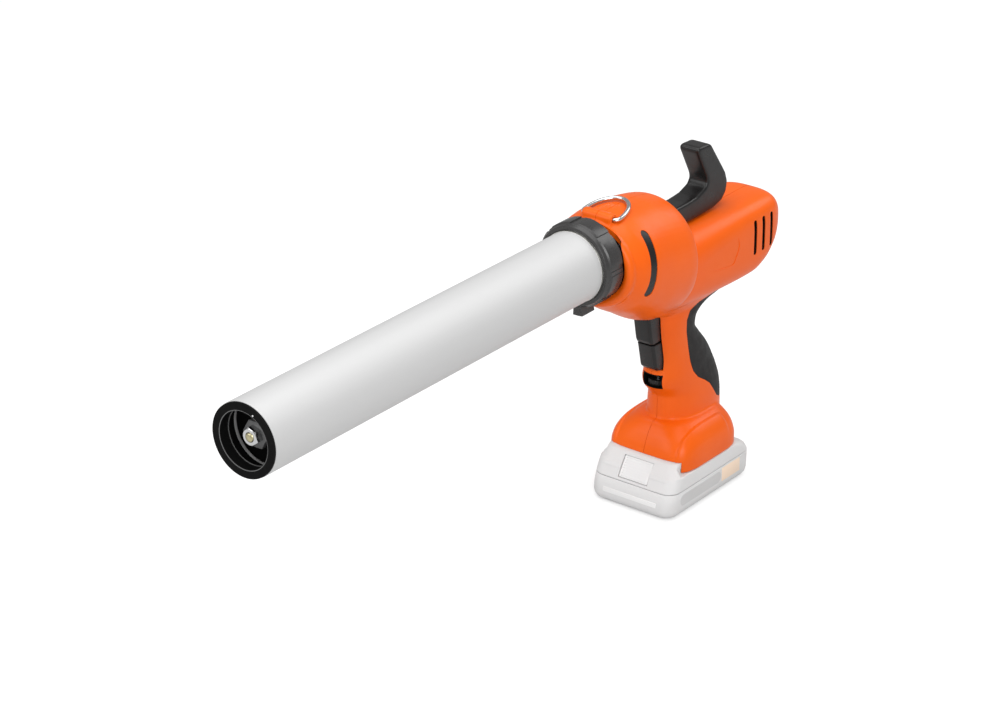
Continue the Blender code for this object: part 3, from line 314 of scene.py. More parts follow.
def lofted(table: tuple[Section, ...], along: Axis, inset: float = 0.0, count: int = 72,
           steps: int = 50) -> bmesh.types.BMesh:
    """A closed body through rounded sections.

    Args:
        table: The body's sections.
        along: The axis that the body runs along, X or Z.
        inset: How far its skin is moved inwards.
        count: Vertices round a section.
        steps: Number of sections.

    Returns:
        The body as a bmesh.
    """
    bm = bmesh.new()
    before: list = []
    rows = blend_sections(table, steps)
    rows[0] = (rows[0][0] + inset, *rows[0][1:])
    rows[-1] = (rows[-1][0] - inset, *rows[-1][1:])
    rings = []
    for place, low, high, half, power in rows:
        verts, edges = grow_circle(bm, count)
        shape_ring(verts, (place, low + inset, high - inset, half - inset, power), along)
        rings.append(edges)
        if before:
            bmesh.ops.bridge_loops(bm, edges=before + edges)
        before = edges
    bmesh.ops.edgeloop_fill(bm, edges=rings[0])
    bmesh.ops.edgeloop_fill(bm, edges=rings[-1])
    bmesh.ops.recalc_face_normals(bm, faces=bm.faces)
    return bm


def softened(profile: list[Point2], radius: float, turns: int = 3) -> list[Point2]:
    """Round every corner of a closed outline.

    Args:
        profile: Corner points in order.
        radius: Greatest distance that a corner is cut back along its sides.
        turns: Number of points that replace a corner, less one.

    Returns:
        The outline with its corners rounded. Points on the axis keep their place.
    """
    rounded: list[Point2] = []
    size = len(profile)
    for number, (x, y) in enumerate(profile):
        here = Vector((x, y))
        back = Vector(profile[number - 1]) - here
        ahead = Vector(profile[(number + 1) % size]) - here
        if y == 0.0:
            rounded.append((x, y))
            continue
        reach = min(radius, 0.45 * back.length, 0.45 * ahead.length)
        start = here + back.normalized() * reach
        end = here + ahead.normalized() * reach
        for step in range(turns + 1):
            t = step / turns
            spot = start * (1 - t) ** 2 + here * (2 * t * (1 - t)) + end * t**2
            rounded.append((spot.x, spot.y))
    return rounded


def turned(profile: list[Point2], centre: Vector = HUB, axis: Axis = Axis.X, steps: int = 128,
           soften: float = 0.0) -> bmesh.types.BMesh:
    """Spin a closed outline once round an axis.

    Args:
        profile: Points of (along, radius), along counted from the frame's origin.
        centre: A point on the axis.
        axis: The direction of the axis.
        steps: Facets round the piece.
        soften: Size of the rounding on the outline's corners.

    Returns:
        The turned piece as a bmesh.
    """
    outline = softened(profile, soften) if soften else profile
    bm = bmesh.new()
    verts = []
    for along, radius in outline:
        place = centre.copy()
        place[axis.value] = along
        place[2 if axis is not Axis.Z else 0] += radius
        verts.append(bm.verts.new(place))
    edges = [bm.edges.new((verts[k - 1], verts[k])) for k in range(len(verts))]
    bmesh.ops.spin(bm, geom=verts + edges, cent=centre, axis=axis.vector, dvec=(0.0, 0.0, 0.0),
                   angle=math.tau, steps=steps, use_merge=True)
    bmesh.ops.remove_doubles(bm, verts=bm.verts, dist=1e-6)
    bmesh.ops.recalc_face_normals(bm, faces=bm.faces)
    return bm


def extruded(outline: list[Point2], axis: Axis, low: float, high: float, bevel: float = 0.0,
             segments: int = 3) -> bmesh.types.BMesh:
    """Push a flat outline along an axis.

    Args:
        outline: Points of the two other coordinates, in X, Y, Z order.
        axis: The direction that it is pushed along.
        low: Where it starts.
        high: Where it ends.
        bevel: Size of the rounding on every edge.
        segments: Facets across that rounding.

    Returns:
        The solid as a bmesh.
    """
    bm = bmesh.new()
    others = [k for k in range(3) if k != axis.value]
    verts = []
    for point in outline:
        place = [0.0, 0.0, 0.0]
        place[axis.value] = low
        place[others[0]], place[others[1]] = point
        verts.append(bm.verts.new(place))
    face = bm.faces.new(verts)
    grown = bmesh.ops.extrude_face_region(bm, geom=[face], use_keep_orig=True)
    moved = [item for item in grown["geom"] if isinstance(item, bmesh.types.BMVert)]
    bmesh.ops.translate(bm, verts=moved, vec=axis.vector * (high - low))
    bmesh.ops.recalc_face_normals(bm, faces=bm.faces)
    if bevel:
        edges = [edge for edge in bm.edges if edge.calc_face_angle(0.0) > math.radians(20.0)]
        bmesh.ops.bevel(bm, geom=edges, offset=bevel, segments=segments, profile=0.5,
                        affect="EDGES", material=-1, clamp_overlap=True)
    return bm


def boxed(low: tuple, high: tuple, bevel: float = 0.0) -> bmesh.types.BMesh:
    """A block between two corners, with its edges rounded if asked."""
    bm = bmesh.new()
    bmesh.ops.create_cube(bm, size=1.0)
    bmesh.ops.scale(bm, verts=bm.verts, vec=Vector(high) - Vector(low))
    bmesh.ops.translate(bm, verts=bm.verts, vec=(Vector(high) + Vector(low)) / 2.0)
    if bevel:
        bmesh.ops.bevel(bm, geom=list(bm.edges), offset=bevel, segments=2, profile=0.5,
                        affect="EDGES", material=-1)
    return bm


def pill(first: Point2, second: Point2, width: float, turns: int = 12) -> list[Point2]:
    """Outline of a slot with round ends between two centre points."""
    start = Vector(first)
    end = Vector(second)
    heading = math.atan2(end.y - start.y, end.x - start.x)
    points = []
    for centre, base in ((end, heading - math.pi / 2.0), (start, heading + math.pi / 2.0)):
        for step in range(turns + 1):
            angle = base + math.pi * step / turns
            points.append((centre.x + 0.5 * width * math.cos(angle),
                           centre.y + 0.5 * width * math.sin(angle)))
    return points


def merged(*parts: bmesh.types.BMesh) -> bmesh.types.BMesh:
    """Put several meshes in one, without joining their surfaces."""
    whole = bmesh.new()
    for part in parts:
        carrier = bpy.data.meshes.new("carrier")
        part.to_mesh(carrier)
        part.free()
        whole.from_mesh(carrier)
        bpy.data.meshes.remove(carrier)
    return whole


def as_object(bm: bmesh.types.BMesh, name: str) -> bpy.types.Object:
    """Turn a bmesh into a linked object at the origin."""
    mesh = bpy.data.meshes.new(name)
    bm.to_mesh(mesh)
    bm.free()
    item = bpy.data.objects.new(name, mesh)
    bpy.context.scene.collection.objects.link(item)
    return item


def applied(item: bpy.types.Object) -> bmesh.types.BMesh:
    """Take an object's finished shape, with its modifiers, as a bmesh and remove the object."""
    bpy.context.view_layer.update()
    graph = bpy.context.evaluated_depsgraph_get()
    mesh = bpy.data.meshes.new_from_object(item.evaluated_get(graph))
    bm = bmesh.new()
    bm.from_mesh(mesh)
    bpy.data.meshes.remove(mesh)
    old = item.data
    bpy.data.objects.remove(item)
    bpy.data.meshes.remove(old)
    return bm


def combined(target: bmesh.types.BMesh, other: bmesh.types.BMesh, operation: str) -> bmesh.types.BMesh:
    """Cut, join or intersect two solids.

    Args:
        target: The solid that is changed.
        other: The solid that changes it.
        operation: DIFFERENCE, UNION or INTERSECT.

    Returns:
        The new solid.
    """
    item = as_object(target, "target")
    cutter = as_object(other, "cutter")
    modifier = item.modifiers.new("combine", "BOOLEAN")
    modifier.operation = operation
    modifier.solver = "EXACT"
    modifier.object = cutter
    made = applied(item)
    bpy.data.objects.remove(cutter)
    bmesh.ops.remove_doubles(made, verts=made.verts, dist=2e-6)
    bmesh.ops.dissolve_degenerate(made, dist=2e-6, edges=made.edges)
    wide = [face for face in made.faces if len(face.verts) > 4]
    bmesh.ops.triangulate(made, faces=wide)
    return made


def melted(bm: bmesh.types.BMesh, voxel: float, passes: int) -> bmesh.types.BMesh:
    """Melt overlapping solids into one skin with soft fillets.

    Args:
        bm: The overlapping solids.
        voxel: Size of the new faces.
        passes: Number of smoothing passes.

    Returns:
        The one skin as a bmesh.
    """
    item = as_object(bm, "melt")
    modifier = item.modifiers.new("melt", "REMESH")
    modifier.mode = "VOXEL"
    modifier.voxel_size = voxel
    made = applied(item)
    for _ in range(passes):
        bmesh.ops.smooth_vert(made, verts=made.verts, factor=0.5, use_axis_x=True,
                              use_axis_y=True, use_axis_z=True)
    bmesh.ops.recalc_face_normals(made, faces=made.faces)
    return made


def halved(bm: bmesh.types.BMesh, gap: float) -> bmesh.types.BMesh:
    """Keep the left half of a closed solid, closed again along the seam.

    Args:
        bm: The whole solid.
        gap: Width of the seam.

    Returns:
        The half on the -Y side.
    """
    everything = list(bm.verts) + list(bm.edges) + list(bm.faces)
    bmesh.ops.bisect_plane(bm, geom=everything, dist=1e-6, plane_co=(0.0, -gap / 2.0, 0.0),
                           plane_no=(0.0, 1.0, 0.0), clear_outer=True)
    rim = [edge for edge in bm.edges if edge.is_boundary]
    bmesh.ops.triangle_fill(bm, edges=rim, use_beauty=True, normal=(0.0, 1.0, 0.0))
    bmesh.ops.recalc_face_normals(bm, faces=bm.faces)
    log.info("seam closed with %d open edges left", sum(edge.is_boundary for edge in bm.edges))
    return bm


def mirrored(bm: bmesh.types.BMesh) -> bmesh.types.BMesh:
    """A copy of a mesh on the other side of the middle plane."""
    twin = bm.copy()
    bmesh.ops.scale(twin, verts=twin.verts, vec=(1.0, -1.0, 1.0))
    bmesh.ops.reverse_faces(twin, faces=twin.faces)
    return twin


def issue(bm: bmesh.types.BMesh, name: str, finish: Finish, body: str, *nodes: str,
          sharp: float = SHARP_ANGLE) -> bpy.types.Object:
    """Finish one piece and hang it on its body.

    Args:
        bm: The piece's mesh, in place.
        name: Name of the piece.
        finish: Its surface.
        body: The body that it moves with.
        nodes: The frame's nodes that it stands for.
        sharp: Angle above which an edge is drawn hard.

    Returns:
        The new object.
    """
    item = as_object(bm, name)
    item.data.materials.clear()
    item.data.materials.append(finish.material())
    item.data.shade_smooth()
    item.data.set_sharp_from_angle(angle=sharp)
    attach(item, body)
    if nodes:
        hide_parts(*nodes)
    log.info("piece %s on %s: %d faces", name, body, len(item.data.polygons))
    return item


def dress(node: str, finish: Finish) -> None:
    """Give a node that is kept from the frame its finish."""
    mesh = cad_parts[node].data
    mesh.materials.clear()
    mesh.materials.append(finish.material())
    log.info("kept %s in %s", node, finish.name)


def hexagon(flats: float, turn: float = 0.0) -> list[Point2]:
    """Corners of a hexagon across the barrel's axis, as (y, z) points."""
    radius = flats / math.sqrt(3.0)
    return [(radius * math.cos(math.tau * step / 6.0 + turn),
             AXIS_Z + radius * math.sin(math.tau * step / 6.0 + turn)) for step in range(6)]


def wedge(start: float, end: float, inner: float, outer: float, low: float,
          high: float) -> bmesh.types.BMesh:
    """A sector of a ring round the barrel's axis.

    Args:
        start: First angle from +Y, in degrees.
        end: Last angle, in degrees.
        inner: Inner radius.
        outer: Outer radius.
        low: Where it starts along X.
        high: Where it ends along X.

    Returns:
        The sector as a bmesh.
    """
    steps = 14
    outline = []
    for radius, order in ((inner, range(steps + 1)), (outer, range(steps, -1, -1))):
        for step in order:
            angle = math.radians(start + (end - start) * step / steps)
            outline.append((radius * math.cos(angle), AXIS_Z + radius * math.sin(angle)))
    return extruded(outline, Axis.X, low, high)


# ------------------------------------------------------------------ barrel
@dataclass
class Barrel:
    """The tube, its front cap with the nozzle ring, and the collar nut."""

    tube_radius: float = 0.027
    tube_bore: float = 0.0258
    rim_radius: float = 0.0292
    cap_recesses: int = 6
    cap_recess_depth: float = 0.0010
    cap_recess_inner: float = 0.0237
    collar_pads: int = 8

    def build(self) -> None:
        """Build and dress every piece of the barrel."""
        self.tube()
        self.cap()
        self.ring()
        self.collar()
        self.adaptor()

    def tube(self) -> None:
        """The drawn tube, with a bright line just in front of the collar."""
        low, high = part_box("barrel_tube")
        profile = [(low.x, self.tube_bore), (low.x, self.tube_radius),
                   (high.x - 0.002, self.tube_radius), (high.x - 0.002, self.rim_radius),
                   (high.x, self.rim_radius), (high.x, self.tube_bore)]
        issue(turned(profile, steps=160, soften=0.0004), "tube", TUBE, "barrel", "barrel_tube")
        collar_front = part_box("collar_nut")[0].x
        line = [(collar_front - 0.0012, self.tube_radius - 0.0001),
                (collar_front - 0.0012, self.tube_radius + 0.0003),
                (collar_front - 0.0002, self.tube_radius + 0.0005),
                (collar_front - 0.0002, self.tube_radius - 0.0001)]
        issue(turned(line, steps=160), "tube_bead_line", TUBE_EDGE, "barrel")

    def cap(self) -> None:
        """The black cap: recessed panels, a step along the face and a thin rear flange."""
        low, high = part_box("front_cap")
        front = low.x
        rear = high.x
        outer = 0.0335
        profile = [(front + 0.0001, 0.019), (front + 0.0001, outer - 0.0006), (front + 0.0016, outer),
                   (rear - 0.0016, outer), (rear - 0.0016, outer + 0.0006), (rear, outer + 0.0006),
                   (rear, self.tube_radius + 0.0006), (front + 0.0032, self.tube_radius + 0.0006),
                   (front + 0.0032, 0.019)]
        bm = turned(profile, steps=180, soften=0.0005)
        cutters = []
        for number in range(self.cap_recesses):
            middle = 360.0 * (number + 0.5) / self.cap_recesses
            cutters.append(wedge(middle - 16.5, middle + 16.5, outer - self.cap_recess_depth,
                                 0.040, front - 0.001, rear - 0.0034))
            cutters.append(wedge(middle - 16.5, middle + 16.5, self.cap_recess_inner, 0.0334,
                                 front - 0.001, front + 0.0009))
            for edge in (middle - 16.5, middle + 16.5):
                cutters.append(wedge(edge - 0.55, edge + 0.55, outer - 0.0017, 0.040,
                                     front - 0.001, rear - 0.0030))
                cutters.append(wedge(edge - 0.75, edge + 0.75, self.cap_recess_inner, 0.040,
                                     front - 0.001, front + 0.0014))
            cutters.append(wedge(middle - 43.5, middle - 16.5, outer - 0.0014, 0.040,
                                 rear - 0.0036, rear - 0.0029))
        for cutter in cutters:
            bm = combined(bm, cutter, "DIFFERENCE")
        notch = boxed((front - 0.001, -0.0074, AXIS_Z - 0.0218), (front + 0.006, 0.0074, AXIS_Z))
        bmesh.ops.rotate(notch, verts=notch.verts, cent=HUB,
                         matrix=Matrix.Rotation(math.radians(31.0), 3, "X"))
        bm = combined(bm, notch, "DIFFERENCE")
        issue(bm, "cap", BLACK_MATT, "cap", "front_cap")
        angle = math.radians(62.0)
        spot = Vector((0.0, -0.0256 * math.cos(angle), AXIS_Z + 0.0256 * math.sin(angle)))
        dot = turned([(front, 0.0), (front, 0.0005), (front + 0.0003, 0.0006),
                      (front + 0.0003, 0.0)], centre=spot, steps=24)
        issue(dot, "cap_gate_mark", PALE_LIGHT, "cap")

    def ring(self) -> None:
        """The loose ring in the cap, its sleeve run back to the piston as painted shade over the bore,
        with painted highlights on its inner edges.
        """
        low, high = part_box("nozzle_ring")
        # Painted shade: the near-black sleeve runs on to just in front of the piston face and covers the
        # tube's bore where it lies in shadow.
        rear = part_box("piston")[0].x + 0.0068
        profile = [(low.x, 0.0213), (low.x, 0.0267), (low.x + 0.0015, 0.0267),
                   (low.x + 0.0015, 0.0252), (rear, 0.0252), (rear, 0.0244),
                   (high.x, 0.0244), (high.x, 0.0213)]
        issue(turned(profile, steps=144), "seal_ring", DARK, "ring", "nozzle_ring")
        # Two thin grey rings paint the light arcs on the ring's inner edges: a painted highlight.
        for number, place in enumerate((low.x + 0.0002, high.x - 0.0004), 1):
            edge = [(place, 0.0208), (place, 0.0214), (place + 0.0004, 0.0214),
                    (place + 0.0004, 0.0208)]
            issue(turned(edge, steps=144), f"seal_ring_highlight_{number}", BLACK_EDGE_HIGHLIGHT, "ring")

    def collar(self) -> None:
        """The collar nut, with broad finger pads between narrow grooves."""
        low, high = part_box("collar_nut")
        outer = 0.0328
        profile = [(low.x, 0.0276), (low.x, 0.0305), (low.x + 0.0028, outer - 0.0012),
                   (low.x + 0.0040, outer), (high.x, outer), (high.x, 0.0298),
                   (low.x + 0.003, 0.0298), (low.x + 0.003, 0.0276)]
        bm = turned(profile, steps=180, soften=0.0004)
        for number in range(self.collar_pads):
            middle = 360.0 * (number + 0.86) / self.collar_pads
            bm = combined(bm, wedge(middle - 3.2, middle + 3.2, outer - 0.0010, 0.040,
                                    low.x + 0.0030, high.x + 0.001), "DIFFERENCE")
            bm = combined(bm, wedge(middle - 3.2, middle + 9.0, outer - 0.0005, 0.040,
                                    low.x + 0.0035, high.x + 0.001), "DIFFERENCE")
        issue(bm, "collar", BLACK_COLLAR, "collar", "collar_nut")

    def adaptor(self) -> None:
        """The spigot that the collar screws on, with its thread."""
        low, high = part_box("barrel_adaptor")
        crest = 0.0289
        profile = [(low.x, 0.0258), (low.x, crest - 0.0008)]
        turns = 4
        for number in range(turns):
            start = low.x + 0.0012 + number * 0.0028
            profile += [(start, crest - 0.0008), (start + 0.0006, crest), (start + 0.0014, crest),
                        (start + 0.0020, crest - 0.0008)]
        shoulder = low.x + 0.0148
        inside = shoulder + 0.0035
        profile += [(shoulder, crest - 0.0008), (shoulder, 0.0175), (inside, 0.0175),
                    (inside, 0.0205), (high.x, 0.0205), (high.x, 0.0092),
                    (shoulder - 0.004, 0.0092), (shoulder - 0.004, 0.0258)]
        issue(turned(profile, steps=120), "spigot", BLACK, "housing", "barrel_adaptor")


# ------------------------------------------------------------------ push rod
@dataclass
class PushRod:
    """Piston, its nut and stud, the toothed rod and the pull handle."""

    thread_pitch: float = 0.001
    handle_half: float = 0.0092

    def build(self) -> None:
        """Build and dress every piece of the rod."""
        self.piston()
        self.fastening()
        self.handle()
        dress("rack_rod", GROUND)
        dress("handle_pin", PLATED)
        dress("pinion", GROUND)
        dress("pinion_shaft", GROUND)

    def piston(self) -> None:
        """Piston disc with a seal lip behind a bevelled hexagon boss."""
        low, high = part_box("piston")
        boss = low.x
        face = boss + 0.0075
        radius = high.y
        profile = [(face, 0.0033), (face, radius - 0.0030), (face + 0.0020, radius - 0.0006),
                   (face + 0.0032, radius), (high.x - 0.0050, radius),
                   (high.x - 0.0050, radius - 0.0020), (high.x, radius - 0.0020), (high.x, 0.0033)]
        issue(turned(profile, steps=128, soften=0.0005), "piston_disc", DARK, "rod", "piston")
        hexa = extruded(hexagon(0.0185), Axis.X, boss, face + 0.0010, bevel=0.0005)
        hexa = combined(hexa, turned([(boss - 0.001, 0.0), (boss - 0.001, 0.0033),
                                      (face + 0.002, 0.0033), (face + 0.002, 0.0)], steps=48),
                        "DIFFERENCE")
        # The boss's grey is painted light on black plastic.
        issue(hexa, "piston_boss", BOSS_PAINTED_LIGHT, "rod")

    def fastening(self) -> None:
        """Hexagon nut with turned faces, and the threaded stud through it."""
        low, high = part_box("piston_nut")
        nut = extruded(hexagon(0.0118, 0.3), Axis.X, low.x, high.x)
        dome = turned([(low.x - 0.0001, 0.0), (low.x - 0.0001, 0.0055), (low.x + 0.0009, 0.0069),
                       (high.x + 0.0001, 0.0069), (high.x + 0.0001, 0.0)], steps=64)
        nut = combined(nut, dome, "INTERSECT")
        nut = combined(nut, turned([(low.x - 0.001, 0.0), (low.x - 0.001, 0.0041),
                                    (low.x + 0.0009, 0.0032), (high.x + 0.001, 0.0032),
                                    (high.x + 0.001, 0.0)], steps=48), "DIFFERENCE")
        issue(nut, "nut", PLATED, "rod", "piston_nut", sharp=math.radians(20.0))
        low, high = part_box("piston_stud")
        profile = [(low.x, 0.0), (low.x, 0.0022)]
        place = low.x + 0.0006
        while place < high.x - self.thread_pitch:
            profile += [(place, 0.0030), (place + 0.5 * self.thread_pitch, 0.0026)]
            place += self.thread_pitch
        profile += [(high.x, 0.0026), (high.x, 0.0)]
        issue(turned(profile, steps=40), "stud", YELLOW_ZINC, "rod", "piston_stud")

    def handle(self) -> None:
        """The hooked pull: a flat stem that swells into an upright finger."""
        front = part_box("pull_handle")[0].x
        outline = [(front, 0.2240), (0.0080, 0.2242), (0.0300, 0.2250), (0.0410, 0.2275),
                   (0.0470, 0.2335), (0.0485, 0.2420), (0.0455, 0.2500), (0.0250, 0.2785),
                   (0.0215, 0.2798), (0.0085, 0.2803), (0.0065, 0.2775), (0.0200, 0.2530),
                   (0.0210, 0.2490), (0.0180, 0.2450), (0.0070, 0.2412), (-0.0060, 0.2402),
                   (front, 0.2400)]
        bm = extruded(outline, Axis.Y, -self.handle_half, self.handle_half, bevel=0.0024)
        bm = melted(bm, 0.0007, 9)
        socket = boxed((front - 0.01, -0.0058, 0.2257), (front + 0.020, 0.0058, 0.2378))
        bm = combined(bm, socket, "DIFFERENCE")
        issue(bm, "pull", BLACK, "rod", "pull_handle")


# ------------------------------------------------------------------ housing
DOME: tuple[Section, ...] = (
    (-0.1190, 0.1965, 0.2560, 0.0335, 2.0), (-0.1160, 0.1935, 0.2572, 0.0370, 2.0),
    (-0.1110, 0.1900, 0.2595, 0.0400, 2.0), (-0.1030, 0.1845, 0.2618, 0.0432, 2.05),
    (-0.0890, 0.1768, 0.2632, 0.0446, 2.1), (-0.0670, 0.1650, 0.2625, 0.0447, 2.1),
    (-0.0520, 0.1630, 0.2602, 0.0446, 2.1), (-0.0420, 0.1640, 0.2577, 0.0437, 2.05),
    (-0.0365, 0.1700, 0.2525, 0.0385, 2.0),
)
MOTOR: tuple[Section, ...] = (
    (-0.0620, 0.1630, 0.2200, 0.0280, 2.6), (-0.0220, 0.1612, 0.2222, 0.0302, 2.9),
    (0.0250, 0.1608, 0.2228, 0.0306, 3.6), (0.0620, 0.1616, 0.2230, 0.0307, 4.2),
    (0.0760, 0.1660, 0.2231, 0.0304, 4.2), (0.0870, 0.1738, 0.2228, 0.0294, 3.8),
    (0.0950, 0.1816, 0.2208, 0.0266, 3.1), (0.0995, 0.1880, 0.2163, 0.0220, 2.6),
    (0.1015, 0.1930, 0.2110, 0.0165, 2.3),
)
GRIP: tuple[Section, ...] = (
    (0.1990, -0.0960, 0.0600, 0.0260, 2.6), (0.1820, -0.0900, 0.0640, 0.0260, 2.6),
    (0.1720, -0.0760, 0.0680, 0.0250, 2.6), (0.1665, -0.0660, 0.0700, 0.0228, 2.5),
    (0.1625, -0.0600, 0.0660, 0.0205, 2.4), (0.1600, -0.0500, 0.0520, 0.0190, 2.4),
    (0.1575, -0.0410, 0.0340, 0.0180, 2.4), (0.1530, -0.0398, 0.0185, 0.0175, 2.4),
    (0.1470, -0.0390, 0.0102, 0.0172, 2.4), (0.1390, -0.0378, 0.0085, 0.0170, 2.4),
    (0.1300, -0.0362, 0.0150, 0.0170, 2.4), (0.1180, -0.0345, 0.0260, 0.0172, 2.4),
    (0.1100, -0.0355, 0.0318, 0.0175, 2.4), (0.1020, -0.0380, 0.0365, 0.0180, 2.4),
    (0.0960, -0.0365, 0.0397, 0.0185, 2.4), (0.0900, -0.0310, 0.0418, 0.0192, 2.4),
    (0.0850, -0.0275, 0.0434, 0.0198, 2.4), (0.0740, -0.0275, 0.0450, 0.0208, 2.4),
    (0.0560, -0.0275, 0.0455, 0.0213, 2.4),
)
FOOT: tuple[Section, ...] = (
    (0.0660, -0.0300, 0.0310, 0.0200, 3.0), (0.0648, -0.0325, 0.0325, 0.0245, 3.0),
    (0.0625, -0.0350, 0.0338, 0.0280, 3.2), (0.0600, -0.0370, 0.0346, 0.0310, 3.5),
    (0.0570, -0.0392, 0.0354, 0.0338, 3.8), (0.0530, -0.0412, 0.0360, 0.0362, 4.2),
    (0.0485, -0.0432, 0.0362, 0.0377, 4.6), (0.0430, -0.0448, 0.0363, 0.0385, 5.0),
    (0.0335, -0.0455, 0.0363, 0.0386, 5.0),
)
PAD_OUTLINE: tuple[Point2, ...] = (
    (0.0800, 0.1660), (0.0570, 0.1638), (0.0340, 0.1630), (0.0130, 0.1620), (-0.0010, 0.1608),
    (-0.0115, 0.1560), (-0.0148, 0.1490), (-0.0145, 0.1390), (-0.0120, 0.1270), (-0.0085, 0.1120),
    (-0.0050, 0.1030), (0.0010, 0.0960), (0.0090, 0.0910), (0.0155, 0.0860), (0.0205, 0.0790),
    (0.0260, 0.0715), (0.0320, 0.0680), (0.0600, 0.0655), (0.0700, 0.1200), (0.0900, 0.1500),
)


